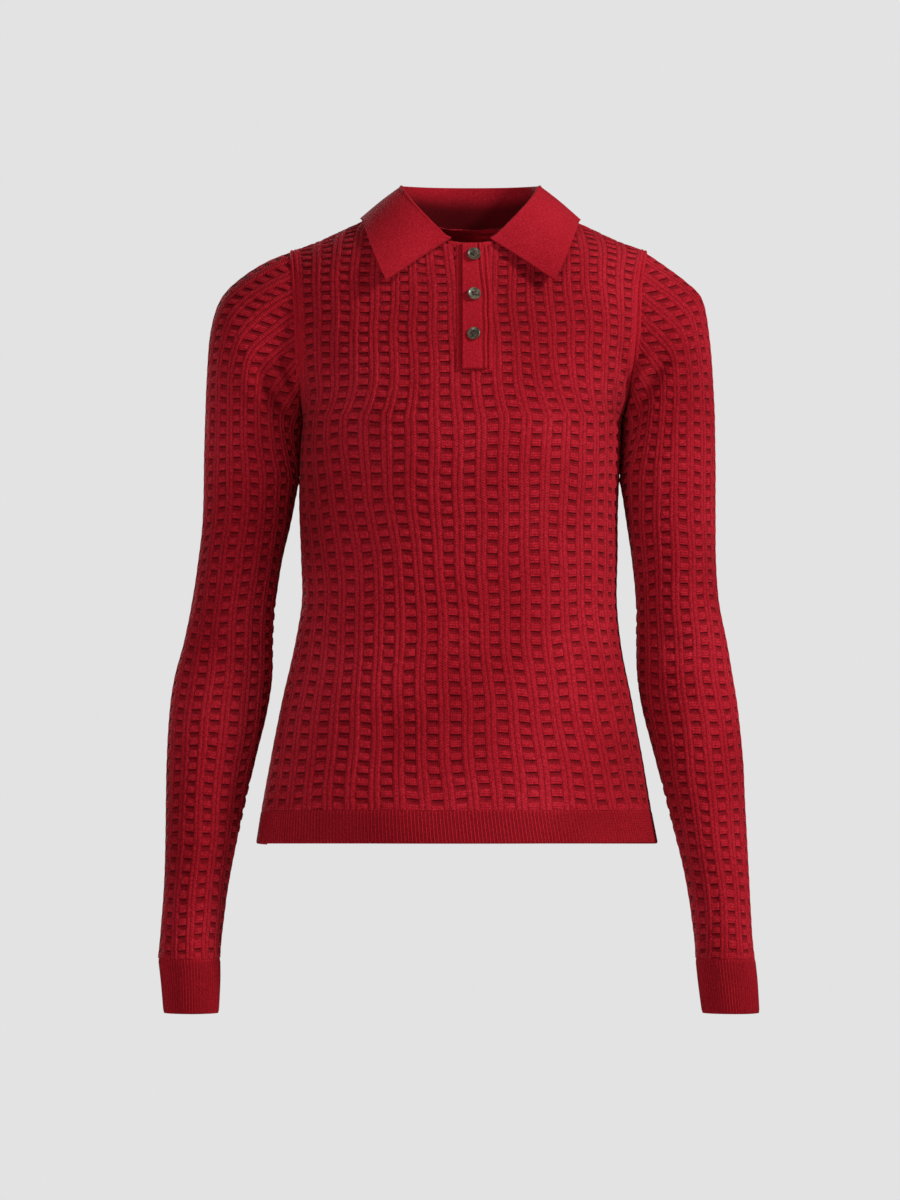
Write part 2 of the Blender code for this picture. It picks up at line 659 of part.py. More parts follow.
def placket(knit):
    """The top band over the slit, and the under band behind it, inside the front."""

    def right_edge(down):
        return PLACKET_RIGHT_TOP + (PLACKET_RIGHT_BOTTOM - PLACKET_RIGHT_TOP) * min(1.0, 2.2 * down)

    def under_edge(down):
        return right_edge(down) + UNDER_SHIFT * (1 - min(1.0, 3 * down))

    behind = -WALL - UNDER_GAP - BAND_WALL
    top = FRONT_NECK - 0.0005
    strip("placket_top", PLACKET_LEFT, right_edge, top, PLACKET_BOTTOM, CLEARANCE, knit)
    under_left = PLACKET_LEFT + 0.0015
    under_bottom = PLACKET_BOTTOM + 0.004
    strip("placket_under", under_left, under_edge, top - 0.001, under_bottom, behind, knit)


def button(name, z, horn):
    """A dished four-hole button that lies on the placket."""
    radius = BUTTON_ACROSS / 2
    face = BUTTON_THICK - BUTTON_DISH
    profile = (
        (radius * 0.80, 0.0),
        (radius, BUTTON_THICK * 0.45),
        (radius * 0.97, BUTTON_THICK * 0.85),
        (radius * 0.90, BUTTON_THICK),
        (radius - BUTTON_RIM, BUTTON_THICK * 0.93),
        (radius - BUTTON_RIM * 1.6, face),
    )
    disc = turned_disc(name, profile)
    for k in range(4):
        drill_hole(disc, k)
    middle = float(trunk("middle", z))
    across = BUTTON_X - middle
    span = 0.004
    rise = float(body_y(-1, across, z + span)) - float(body_y(-1, across, z - span))
    tilt = math.atan(rise / (2 * span))
    lift = CLEARANCE + BAND_WALL + BUTTON_LIFT
    y = float(body_y(-1, across, z))
    disc.location = (BUTTON_X, y - lift * math.cos(tilt), z + lift * math.sin(tilt))
    disc.rotation_euler = (math.pi / 2 - tilt, 0, 0)
    disc.data.materials.append(horn)


def turned_disc(name, profile):
    """A profile of (radius, height) turned round Z, closed flat below and above."""
    around = BUTTON_SIDES
    points = [(0.0, 0.0, profile[0][1])]
    for reach, height in profile:
        for k in range(around):
            angle = 2 * math.pi * k / around
            points.append((reach * math.cos(angle), reach * math.sin(angle), height))
    points.append((0.0, 0.0, profile[-1][1]))
    last = 1 + (len(profile) - 1) * around
    faces = []
    for k in range(around):
        after = (k + 1) % around
        faces.append((0, 1 + after, 1 + k))
        for low in range(1, last, around):
            high = low + around
            faces.append((low + k, low + after, high + after, high + k))
        faces.append((last + k, last + after, len(points) - 1))
    return make_object(name, points, faces)


def drill_hole(disc, k):
    """Cut one of the four thread holes."""
    corner = math.radians(45 + 90 * k)
    off = HOLE_SPACING / math.sqrt(2)
    bpy.ops.mesh.primitive_cylinder_add(
        vertices=6,
        radius=HOLE_ACROSS / 2,
        depth=4 * BUTTON_THICK,
        location=(off * math.cos(corner), off * math.sin(corner), BUTTON_THICK / 2),
    )
    drill = bpy.context.active_object
    drill.name = f"{disc.name}_drill_{k}"
    drill.hide_render = True
    drill.display_type = "WIRE"
    drill.parent = disc
    cut = disc.modifiers.new(f"hole_{k}", "BOOLEAN")
    cut.object = drill
    cut.operation = "DIFFERENCE"
    cut.solver = "EXACT"


def main():
    for thing in list(bpy.data.objects):
        bpy.data.objects.remove(thing)
    knit = material("red_waffle_knit", (0.36, 0.012, 0.025), 0.85)
    fine = material("red_fine_knit", (0.38, 0.012, 0.027), 0.85)
    horn = material("dark_horn", (0.085, 0.060, 0.040), 0.40)
    front_panel(knit)
    back_panel(knit)
    sleeve("sleeve_right", SLEEVE_RIGHT, -1, knit)
    sleeve("sleeve_left", SLEEVE_LEFT, 1, knit)
    hem_band("hem_rib_front", -1, fine)
    hem_band("hem_rib_back", 1, fine)
    cuff("cuff_right", CUFF_RIGHT, -1, fine)
    cuff("cuff_left", CUFF_LEFT, 1, fine)
    collar(fine)
    placket(fine)
    for number, z in enumerate(BUTTONS, 1):
        button(f"button_{number}", z, horn)


main()
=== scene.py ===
"""The look of a waffle-knit polo sweater, filled out as if worn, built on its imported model.

Metres, +Z up, front towards -Y, the wearer's left at +X. Every piece of cloth is a thin closed wall on
the form of its solid. Its outside is raised cell by cell: a double rib, then a column of pads with a
window above each. The tables give the same sections, rings and collar as the solids.
"""

import math

import bpy
import numpy as np
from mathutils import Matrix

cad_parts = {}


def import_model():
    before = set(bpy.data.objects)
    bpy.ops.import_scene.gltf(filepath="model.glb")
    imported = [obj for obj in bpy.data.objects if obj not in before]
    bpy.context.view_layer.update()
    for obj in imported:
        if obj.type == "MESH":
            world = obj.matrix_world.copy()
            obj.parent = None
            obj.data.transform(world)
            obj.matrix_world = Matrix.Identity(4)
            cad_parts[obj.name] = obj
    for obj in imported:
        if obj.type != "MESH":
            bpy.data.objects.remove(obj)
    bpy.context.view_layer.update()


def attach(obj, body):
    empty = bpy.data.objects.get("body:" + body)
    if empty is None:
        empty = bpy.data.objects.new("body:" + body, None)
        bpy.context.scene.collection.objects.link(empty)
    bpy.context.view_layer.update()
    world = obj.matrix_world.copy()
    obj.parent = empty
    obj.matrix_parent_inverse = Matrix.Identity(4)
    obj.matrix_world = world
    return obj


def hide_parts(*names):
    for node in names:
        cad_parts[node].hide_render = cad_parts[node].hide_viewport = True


# Cloth
WALL = 0.0026  # crest of a rib to the inside of the knit
BAND_WALL = 0.0020  # fine knit of hem, cuffs, collar and placket
SEAM_GAP = 0.0004
CLEARANCE = 0.0004

# Trunk
HEM = -0.5126
HEM_BAND_TOP = -0.4850
HEM_FRONT_RISE = 0.0022
HEM_RISE_FADES = 0.10  # height over which it fades
HEM_RISE_DEPTH = 0.10  # depth at which it is full
ARMPIT = -0.1550
SHOULDER_TIP = -0.0088
SECTION_POWER = 2.2
SHOULDER_ROUND = 0.045  # height over which the cloth turns over the shoulder
RIBS = 21  # double ribs on the front, and again on the back
HALF_RIBS = RIBS / 2
SEAM_HEIGHT = 0.03  # from this far above the armpit the panels keep to their own side of the shoulder
SEAM_STEADY = 0.12  # the side seams swing round the body over this distance below the armpit

# z, middle x, half width of the whole section, depth to the front, depth to the back, knit turned by
TRUNK = (
    # z       middle   half     front    back     turn (rib spacings towards +X)
    (-0.5126, -0.0005, 0.1708, 0.1080, 0.1120, 1.80),
    (-0.4854, -0.0010, 0.1660, 0.1070, 0.1110, 1.70),
    (-0.4420, -0.0008, 0.1584, 0.1040, 0.1080, 1.55),
    (-0.3910, -0.0004, 0.1487, 0.1000, 0.1020, 1.40),
    (-0.3400, 0.0004, 0.1381, 0.0980, 0.0950, 1.25),
    (-0.3060, 0.0015, 0.1340, 0.0985, 0.0910, 1.15),
    (-0.2720, 0.0015, 0.1347, 0.1015, 0.0900, 1.05),
    (-0.2210, 0.0010, 0.1358, 0.1125, 0.0930, 0.95),
    (-0.1700, 0.0030, 0.1365, 0.1225, 0.1000, 0.85),
    (-0.1550, 0.0040, 0.1362, 0.1228, 0.1020, 0.80),
    (-0.1190, 0.0070, 0.1480, 0.1150, 0.1040, 0.55),
    (-0.0800, 0.0085, 0.1570, 0.0990, 0.1020, 0.35),
    (-0.0360, 0.0085, 0.1630, 0.0790, 0.0945, 0.25),
    (-0.0100, 0.0095, 0.1660, 0.0680, 0.0860, 0.20),
    (0.0300, 0.0110, 0.1700, 0.0540, 0.0680, 0.15),
)

# z, half width of the panel where the armhole cuts it
ARMHOLE = (
    (-0.1550, 0.1362),
    (-0.1380, 0.1385),
    (-0.1070, 0.1412),
    (-0.0780, 0.1432),
    (-0.0360, 0.1455),
    (-0.0088, 0.1490),
)

# distance from the middle, height of the shoulder line
SHOULDER_LINE = (
    (0.000, 0.0335),
    (0.045, 0.0308),
    (0.062, 0.0262),
    (0.082, 0.0192),
    (0.095, 0.0135),
    (0.108, 0.0076),
    (0.127, -0.0010),
    (0.149, -0.0088),
)
HIGHER_SHOULDER = 0.0010  # the wearer's right shoulder line arches this much higher

NECK_X = 0.0110  # the neck leans this far towards +X
NECK_HALF = 0.0620
FRONT_NECK = -0.0055
NECK_POWER = 2.5  # the neck hole is a little squarer than an oval
BACK_NECK = 0.0125

# A sleeve's rings run from the armhole to the cuff. Each ring spans from its outer to its inner point.
# outer x and z, inner x and z, half depth front to back, middle y
SLEEVE_RIGHT = (
    # outer x  outer z  inner x  inner z  half    middle y
    (-0.1480, -0.0088, -0.1322, -0.1550, 0.0540, 0.000),
    (-0.1705, -0.0184, -0.1336, -0.1640, 0.0535, 0.000),
    (-0.1900, -0.0330, -0.1340, -0.1705, 0.0520, 0.000),
    (-0.2040, -0.0520, -0.1343, -0.1760, 0.0500, 0.000),
    (-0.2108, -0.0825, -0.1345, -0.1820, 0.0475, 0.000),
    (-0.2134, -0.1190, -0.1347, -0.1890, 0.0450, 0.000),
    (-0.2148, -0.1530, -0.1350, -0.1970, 0.0430, 0.000),
    (-0.2158, -0.1900, -0.1354, -0.2080, 0.0418, 0.000),
    (-0.2168, -0.2380, -0.1408, -0.2380, 0.0408, 0.001),
    (-0.2206, -0.2720, -0.1488, -0.2720, 0.0400, 0.003),
    (-0.2257, -0.3060, -0.1540, -0.3060, 0.0385, 0.004),
    (-0.2325, -0.3400, -0.1565, -0.3400, 0.0370, 0.005),
    (-0.2405, -0.3700, -0.1571, -0.3700, 0.0355, 0.005),
    (-0.2450, -0.4000, -0.1614, -0.4000, 0.0340, 0.003),
    (-0.2474, -0.4420, -0.1716, -0.4420, 0.0328, -0.002),
    (-0.2480, -0.4850, -0.1812, -0.4850, 0.0318, -0.008),
    (-0.2488, -0.5400, -0.1927, -0.5400, 0.0310, -0.017),
    (-0.2522, -0.5900, -0.1994, -0.5900, 0.0290, -0.024),
    (-0.2540, -0.6090, -0.2008, -0.6090, 0.0283, -0.027),
)
SLEEVE_LEFT = (
    (0.1620, -0.0088, 0.1402, -0.1550, 0.0540, 0.000),
    (0.1803, -0.0220, 0.1403, -0.1640, 0.0535, 0.000),
    (0.1968, -0.0354, 0.1402, -0.1705, 0.0520, 0.000),
    (0.2090, -0.0508, 0.1400, -0.1760, 0.0500, 0.000),
    (0.2144, -0.0825, 0.1396, -0.1820, 0.0475, 0.000),
    (0.2174, -0.1190, 0.1392, -0.1890, 0.0450, 0.000),
    (0.2190, -0.1530, 0.1388, -0.1970, 0.0430, 0.000),
    (0.2196, -0.1900, 0.1386, -0.2080, 0.0418, 0.000),
    (0.2196, -0.2380, 0.1430, -0.2380, 0.0408, 0.001),
    (0.2200, -0.2720, 0.1480, -0.2720, 0.0400, 0.003),
    (0.2224, -0.3060, 0.1513, -0.3060, 0.0385, 0.004),
    (0.2290, -0.3400, 0.1515, -0.3400, 0.0370, 0.005),
    (0.2341, -0.3700, 0.1524, -0.3700, 0.0355, 0.005),
    (0.2388, -0.4000, 0.1571, -0.4000, 0.0340, 0.003),
    (0.2429, -0.4420, 0.1680, -0.4420, 0.0328, -0.002),
    (0.2448, -0.4850, 0.1789, -0.4850, 0.0318, -0.008),
    (0.2474, -0.5400, 0.1925, -0.5400, 0.0310, -0.017),
    (0.2500, -0.5900, 0.2000, -0.5900, 0.0290, -0.024),
    (0.2520, -0.6090, 0.2012, -0.6090, 0.0283, -0.027),
)
SLEEVE_RIBS = 16
ARMHOLE_REACH = 4  # rings over which the armhole's own shape fades into the sleeve's

# Cuff: the same columns, from the sleeve's end down
CUFF_RIGHT = (
    (-0.2537, -0.6096, -0.2009, -0.6096, 0.0280, -0.0270),
    (-0.2514, -0.6290, -0.2008, -0.6290, 0.0262, -0.0295),
    (-0.2490, -0.6555, -0.2020, -0.6555, 0.0252, -0.0325),
)
CUFF_LEFT = (
    (0.2522, -0.6096, 0.2014, -0.6096, 0.0280, -0.0270),
    (0.2542, -0.6290, 0.2034, -0.6290, 0.0262, -0.0295),
    (0.2557, -0.6555, 0.2068, -0.6555, 0.0252, -0.0325),
)

# Soft troughs of the cloth, seen from the front or the back, as straight lines with rounded ends
FOLDS = (
    # side  x from   z from   x to     z to     width   depth
    (-1, -0.1660, -0.1120, -0.1400, -0.1500, 0.0075, 0.0050),
    (-1, -0.1465, -0.1030, -0.1345, -0.1420, 0.0060, 0.0045),
    (-1, 0.1760, -0.1040, 0.1530, -0.1400, 0.0075, 0.0050),
    (-1, 0.1340, -0.0880, 0.1450, -0.1380, 0.0075, 0.0045),
    (-1, 0.1230, -0.1120, 0.1370, -0.1500, 0.0060, 0.0030),
    (-1, -0.2300, -0.3350, -0.1800, -0.3560, 0.0110, 0.0030),
    (-1, 0.1650, -0.3380, 0.2200, -0.3600, 0.0110, 0.0030),
    (1, -0.1720, -0.1080, -0.1440, -0.1480, 0.0080, 0.0045),
    (1, -0.1260, -0.1000, -0.1300, -0.1420, 0.0070, 0.0035),
    (1, 0.1780, -0.1100, 0.1520, -0.1470, 0.0080, 0.0045),
    (1, 0.1340, -0.0960, 0.1380, -0.1400, 0.0070, 0.0035),
    (1, -0.2050, -0.3450, -0.1650, -0.3620, 0.0110, 0.0030),
    (1, 0.1620, -0.3520, 0.2080, -0.3650, 0.0110, 0.0030),
)

# Collar, from the back middle to the front end of one leaf. Distances are from the neck's middle.
COLLAR = (
    # angle  fold z   outer x  outer y   outer z
    (180.0, 0.0455, 0.0000, 0.0930, 0.0010),
    (150.0, 0.0456, 0.0480, 0.0860, 0.0060),
    (120.0, 0.0456, 0.0800, 0.0560, 0.0140),
    (92.0, 0.0446, 0.0938, 0.0080, 0.0182),
    (78.0, 0.0436, 0.0925, -0.0180, 0.0160),
    (60.0, 0.0340, 0.0890, -0.0440, 0.0062),
    (43.8, 0.0225, 0.0835, -0.0625, -0.0085),
    (27.9, 0.0085, 0.0772, -0.0765, -0.0235),
    (15.9, -0.0030, 0.0712, -0.0860, -0.0365),
)
COLLAR_FOLD_ROOM = 0.0030  # the leaf turns over with this much air inside
COLLAR_SEAM = 0.0011  # the stand starts this far above the neckline
STAND_INSET = 0.0010  # the stand's outside lies this far inside the neckline
STAND_SWELL = 0.0004
STAND_LEAST = 0.0018  # lowest stand, at the front
FOLD_INSET = 0.0005
COLLAR_LEAN = 0.0030  # the fold stands this much nearer the neck at the sides
LEAF_SWELL = 0.0006
LEAF_DROP = 0.0006  # the leaf lies this much lower on the wearer's left, higher on the right

# Placket
PLACKET_TOP = FRONT_NECK - 0.0005
PLACKET_BOTTOM = -0.1126
SLIT_SHORTER = 0.003  # the slit behind it ends this much higher
PLACKET_LEFT = 0.0036
PLACKET_RIGHT_TOP = 0.0195
PLACKET_RIGHT_BOTTOM = 0.0247
UNDER_SHIFT = 0.0045  # the under band reaches this far beyond the top band at the neck
UNDER_GAP = 0.0012  # between the front's inside and the under band

# Buttons: height of each middle
BUTTONS = (-0.0158, -0.0500, -0.0838)
BUTTON_X = 0.0137
BUTTON_ACROSS = 0.0114
BUTTON_THICK = 0.0022
BUTTON_DISH = 0.0006
HOLE_ACROSS = 0.0014
HOLE_SPACING = 0.0027
BUTTON_LIFT = 0.0006  # above the placket

# Button turns: lean about the upright line, and spin in its own plane, in degrees
BUTTON_TURNS = ((0, 45), (11, 12), (-13, 32))

# Narrower troughs on top of the folds, and ridges beside them, whose depth is minus
CREASES = (
    # side  x from   z from   x to     z to     width   depth
    (-1, -0.1560, -0.1010, -0.1400, -0.1300, 0.0055, -0.0030),
    (-1, -0.1660, -0.1120, -0.1400, -0.1500, 0.0055, 0.0030),
    (-1, -0.1465, -0.1030, -0.1345, -0.1420, 0.0045, 0.0030),
    (-1, -0.1750, -0.1250, -0.1500, -0.1700, 0.0070, -0.0025),
    (-1, 0.1640, -0.0960, 0.1500, -0.1260, 0.0055, -0.0030),
    (-1, 0.1755, -0.1054, 0.1534, -0.1369, 0.0055, 0.0030),
    (-1, 0.1339, -0.0859, 0.1475, -0.1369, 0.0050, 0.0030),
    (-1, 0.1211, -0.1360, 0.1364, -0.1615, 0.0050, 0.0025),
    (-1, 0.1250, -0.0980, 0.1390, -0.1300, 0.0045, -0.0020),
    (1, -0.1560, -0.0990, -0.1390, -0.1330, 0.0060, -0.0026),
    (1, -0.1720, -0.1080, -0.1440, -0.1480, 0.0060, 0.0024),
    (1, 0.1660, -0.1000, 0.1480, -0.1320, 0.0060, -0.0026),
    (1, 0.1340, -0.0960, 0.1400, -0.1420, 0.0055, 0.0024),
)

# A button's turned profile, from the rim of its back over the edge to the dish: share of its radius,
# share of its thickness, and share of the dish by which it is lower
BUTTON_PROFILE = (
    (0.780, 0.00, 0.00),
    (0.930, 0.16, 0.00),
    (0.990, 0.42, 0.00),
    (1.000, 0.62, 0.00),
    (0.975, 0.85, 0.00),
    (0.920, 0.98, 0.00),
    (0.850, 1.00, 0.00),
    (0.770, 0.95, 0.00),
    (0.680, 1.00, 0.85),
    (0.580, 1.00, 1.00),
)
THREAD_LIFT = 0.00035  # middle of the thread above the dish
THREAD_BENDS = 0.72  # share of the way to a hole where it starts to go down
THREAD_SINKS = 0.0016
THREAD_HALF_WIDE = 0.00055
THREAD_HALF_HIGH = 0.0003
THREAD_CROSSES = 0.0001  # the second thread lies this much higher

# Seams
TUCK = 0.0012  # a sleeve's head and the tops of the bands reach this far under their neighbour
SEAM_DIP = 0.0007  # and sink this much there
SEAM_SPREAD = 0.0030
SIDE_TOUCH = 0.0022  # the upper arm swells this much towards the body, so that they touch
TOUCH_ENDS = -0.222
TOUCH_FADES = 0.035
COLLAR_TUCK = 0.0035  # the stand reaches this far down inside the neckline
ARMHOLE_RIB_HALF = 0.0034
ARMHOLE_RIB_RISE = 0.0006
ARMHOLE_RIB_WALL = 0.0014
ARMHOLE_TOP = 0.008  # nearer the shoulder seam than this, the rib keeps to the seam's own depth
ARMHOLE_LINKS = 130  # stitches round one armhole's rib
LINK_RISE = 0.00008
NECK_EDGE_WALL = 0.0006
NECK_EDGE_PAST = 1.5  # degrees by which the neck's rolled edge reaches under each end of the collar

# The rolled edge of the front neck: inwards from the neckline, and up
NECK_ROLL = (
    # in      up
    (-0.0010, -0.0030),
    (-0.0014, -0.0008),
    (-0.0008, 0.0006),
    (0.0006, 0.0009),
    (0.0018, 0.0004),
    (0.0026, -0.0010),
    (0.0028, -0.0030),
)

# Collar's knit
STITCH = 0.0015  # size of a stitch
STAND_UNITS = 22.0  # height of the stand at the back, in stitches, which its painted shade covers
COLLAR_LENGTH = 0.46  # from end to end

# Placket's relief: ridges and grooves along the top band, as shares of its width
PLACKET_RIDGES = (
    # middle  half    height
    (0.93, 0.055, 0.0008),
    (0.80, 0.045, -0.0006),
    (0.00, 0.020, -0.0005),
    (1.00, 0.020, -0.0005),
)
EDGE_STITCHES = 62  # up the left edge
FOOT_STITCHES = 9  # across the foot
PLACKET_STITCH = 0.0013
PLACKET_OPENS = 2.2  # the right edge has reached its full width after 1 / 2.2 of the way down
UNDER_CLOSES = 3.0
EDGE_WAVER = 0.0004
WAVER_TURN = 21  # radians of waver down the edge
LOOPS_WIDE = 0.0052  # a column of small loops on each side of the placket
LOOP_TALL = 0.0017
LOOP_ROWS = 220  # rows of points, enough for the single loops
CHAIN_RISE = 0.0012
CHAIN_BASE = -0.0006
LOOPS_LAP = 0.0008  # the loops reach this far under the left edge of the top band
LOOPS_PAST = 0.0015  # and this far below it

# Colours of the yarn: dark, middle and light
WAFFLE_REDS = ((0.155, 0.0016, 0.0050), (0.265, 0.0056, 0.0125), (0.400, 0.0150, 0.0280))
FINE_REDS = ((0.160, 0.0018, 0.0056), (0.250, 0.0048, 0.0110), (0.355, 0.0110, 0.0215))
STAND_SHADE_RED = (0.040, 0.0003, 0.0012)  # painted shade, down inside the neck
# painted light: the inside's yarn is lighter than the outside's, to show light where the inside lies in
# shade
INNER_LIGHTENED_REDS = ((0.210, 0.0022, 0.0065), (0.330, 0.0045, 0.0120), (0.460, 0.0090, 0.0210))
HOLLOW_SHADE_RED = (0.038, 0.0001, 0.0007)  # painted shade, deep between the yarns

# Other colours
HORN_BROWNS = ((0.016, 0.011, 0.006), (0.050, 0.036, 0.019), (0.120, 0.088, 0.050))
THREAD_BROWNS = ((0.008, 0.005, 0.004), (0.030, 0.018, 0.014))
FLOOR_GREYS = ((0.70, 0.70, 0.70), (0.72, 0.72, 0.72))
SHEEN_TINT = (1.0, 0.55, 0.55)

# Stitches of the cloth, for each rib across or cell up
PAD_STITCHES = 13.0
CELL_STITCHES = 5.0
STRAND_MIDDLE = 0.13  # a rib's two strands lie this far each side of its middle, in ribs
STRAND_EDGE = 0.255
STRAND_SLANT = 7.0
WAFFLE_FIBRES = 520.0
FINE_FIBRES = 700.0
HOLLOW_SHADE_SHARE = 0.88  # how dark the painted shade in the hollows gets
STAND_SHADE_SHARE = 0.9  # and the painted shade on the inside of the stand

# Bump of the stitches, then of the fibres: distance in metres, and strength
WAFFLE_BUMPS = ((0.00045, 0.9), (0.0006, 0.8))
INNER_BUMPS = ((0.0016, 1.0), (0.0004, 0.6))
FINE_BUMPS = ((0.00022, 0.7), (0.0003, 0.6))

# Each sheet: its finish, the flat width and length it was cut to, how it is held and what it rests on
SHEETS = {
    "front_panel": ("waffle_knit", (0.44, 0.51), "hung", ["back_panel"]),
    "back_panel": ("waffle_knit", (0.44, 0.52), "hung", ["front_panel"]),
    "sleeve_right": ("waffle_knit", (0.34, 0.63), "hung", ["front_panel", "back_panel"]),
    "sleeve_left": ("waffle_knit", (0.34, 0.63), "hung", ["front_panel", "back_panel"]),
    "cuff_right": ("fine_knit", (0.17, 0.048), "hung", ["sleeve_right"]),
    "cuff_left": ("fine_knit", (0.17, 0.048), "hung", ["sleeve_left"]),
    "hem_rib_front": ("fine_knit", (0.44, 0.029), "hung", ["front_panel"]),
    "hem_rib_back": ("fine_knit", (0.44, 0.029), "hung", ["back_panel"]),
    "collar": ("fine_knit", (0.44, 0.098), "folded", ["front_panel", "back_panel"]),
    "placket_top": ("fine_knit", (0.022, 0.120), "laid", ["front_panel"]),
    "placket_under": ("fine_knit", (0.022, 0.115), "laid", ["placket_top"]),
}

# Studio
FLOOR = -1.45
VIEW_X = -0.0064
VIEW_Z = -0.3060
VIEW_DISTANCE = 8.0
VIEW_HALF = 0.51  # half the frame's height at the sweater
AIR_SEEN = 0.768  # the plain background
AIR_LIGHT = 0.15
SENSOR = 24.0  # height of the camera's sensor, in mm
LAMPS = (
    # name, place, size, power
    ("key", (5.0, -2.3, 3.2), 1.0, 560),
    ("fill", (-2.2, -5.1, 0.8), 1.6, 140),
    ("back_light", (-2.2, 4.2, 1.2), 2.2, 170),
)
LAMPS_AIM = (0.0, 0.0, -0.3)


# ---------------------------------------------------------------------------- curves

def spline(knots, values, at):
    """A smooth curve through values at rising knots, read at the places asked for."""
    knots = np.asarray(knots, float)
    values = np.asarray(values, float)
    at = np.clip(at, knots[0], knots[-1])
    steps = np.diff(knots)
    slopes = np.diff(values) / steps
    tangents = np.empty_like(values)
    tangents[0] = slopes[0]
    tangents[-1] = slopes[-1]
    tangents[1:-1] = (slopes[:-1] * steps[1:] + slopes[1:] * steps[:-1]) / (steps[1:] + steps[:-1])
    k = np.clip(np.searchsorted(knots, at, side="right") - 1, 0, len(knots) - 2)
    t = (at - knots[k]) / steps[k]
    return (
        values[k] * (1 + 2 * t) * (1 - t) ** 2
        + tangents[k] * steps[k] * t * (1 - t) ** 2
        + values[k + 1] * t ** 2 * (3 - 2 * t)
        + tangents[k + 1] * steps[k] * t ** 2 * (t - 1)
    )


def column(rows, index):
    return np.array([row[index] for row in rows])


def distances(points):
    """How far along a line each of its points lies."""
    return np.concatenate([[0], np.cumsum(np.linalg.norm(np.diff(points, axis=0), axis=1))])


def read_line(points, lengths, wanted):
    """Points of a line at wanted distances along it."""
    return np.stack([np.interp(wanted, lengths, points[:, k]) for k in range(3)], axis=1)


def along(points, at, whole):
    """Points read at equal shares of a line's length; at runs from 0 to whole."""
    lengths = distances(points)
    return read_line(points, lengths, np.asarray(at) / whole * lengths[-1])


def trunk(name, z):
    """One measure of the trunk at height z."""
    index = {"middle": 1, "half": 2, "front": 3, "back": 4, "turn": 5}[name]
    return spline(column(TRUNK, 0), column(TRUNK, index), z)


def ease(t):
    t = np.clip(t, 0, 1)
    return t * t * (3 - 2 * t)


# ---------------------------------------------------------------------------- the body's surface

def shoulder_line(across):
    line = spline(column(SHOULDER_LINE, 0), column(SHOULDER_LINE, 1), np.abs(across))
    share = np.clip(-across / column(SHOULDER_LINE, 0)[-1], 0, 1)
    return line + HIGHER_SHOULDER * np.sin(np.pi * share)


def body_y(side, across, z):
    """Depth of the body's surface. across is measured from the section's middle; side is -1 or 1."""
    depth = np.where(side < 0, trunk("front", z), trunk("back", z))
    share = np.clip(np.abs(across) / trunk("half", z), 0, 1)
    arch = (1 - share ** SECTION_POWER) ** (1 / SECTION_POWER)
    down = np.clip((shoulder_line(across) - z) / SHOULDER_ROUND, 0, 1)
    turned = (1 - (1 - down) ** SECTION_POWER) ** (1 / SECTION_POWER)
    return side * depth * arch * turned


def panel_half(z):
    """Half width of a panel: to the side seam, or to the armhole above the armpit."""
    above = spline(column(ARMHOLE, 0), column(ARMHOLE, 1), z)
    return np.where(z > ARMPIT, above, trunk("half", z))


def neckline(side, across):
    """Height where the round neck hole, seen from above, meets the body's surface."""
    low = FRONT_NECK if side < 0 else BACK_NECK
    reach = np.abs(body_y(side, np.zeros(1), np.full(1, low)))
    share = np.clip(np.abs(across) / NECK_HALF, 0, 1)
    wanted = reach * (1 - share ** NECK_POWER) ** (1 / NECK_POWER)
    under = np.full(np.shape(across), low - 0.02)
    over = shoulder_line(across)
    for _ in range(30):
        z = (under + over) / 2
        deeper = np.abs(body_y(side, across, z)) > wanted
        under = np.where(deeper, z, under)
        over = np.where(deeper, over, z)
    return (under + over) / 2


def top_edge(side, across):
    """Height of a panel's top edge: the shoulder seam, and the neckline inside it."""
    return np.where(np.abs(across) < NECK_HALF, neckline(side, across), shoulder_line(across))


def half_section(side, z, v):
    """Points across one side of the body, from -X to +X, at height z or at share v above the armpit."""
    angle = np.linspace(-math.pi / 2, math.pi / 2, 241)
    if z is None:
        edge = ARMPIT + v * (SHOULDER_TIP - ARMPIT)
        across = float(panel_half(edge)) * np.sin(angle)
        heights = ARMPIT + v * (top_edge(side, across) - ARMPIT)
    else:
        across = float(panel_half(z)) * np.sin(angle)
        heights = np.full(len(angle), z)
    middle = trunk("middle", heights)
    return np.stack([middle + across, body_y(side, across, heights), heights], axis=1)


def panel_row(side, z, v, ribs):
    """Points of one row of a panel at the given ribs, which count from the panel's middle."""
    height = ARMPIT + v * (SHOULDER_TIP - ARMPIT) if z is None else z
    turn = float(trunk("turn", height))
    steady = float(ease(1 - (ARMPIT - height) / SEAM_STEADY))
    shifted = ribs + turn * (1 - steady * (ribs / HALF_RIBS) ** 2) * side * -1
    if z is None or steady >= 1:
        return along(half_section(side, z, v), shifted + HALF_RIBS, RIBS)
    front = half_section(-1, z, v)
    back = half_section(1, z, v)
    this, other = (front, back) if side < 0 else (back, front)
    before = other[::-1][:-1]
    ring = np.concatenate([before, this, other[::-1][1:]])
    lengths = distances(ring)
    start = lengths[len(before)]
    own = lengths[len(before) + len(this) - 1] - start
    return read_line(ring, lengths, start + (shifted + HALF_RIBS) / RIBS * own)


def ring_points(row, ribs, count):
    """Points round one ring of a sleeve. Rib 0 lies outermost, and the count runs to the front."""
    outer_x, outer_z, inner_x, inner_z, half, middle_y = row
    angle = np.linspace(0, 2 * math.pi, 361)
    middle = np.array([(outer_x + inner_x) / 2, middle_y, (outer_z + inner_z) / 2])
    reach = np.array([outer_x, middle_y, outer_z]) - middle
    depth = np.array([0.0, -half, 0.0])
    ring = middle + np.cos(angle)[:, None] * reach + np.sin(angle)[:, None] * depth
    return along(ring, np.mod(ribs, count), count)


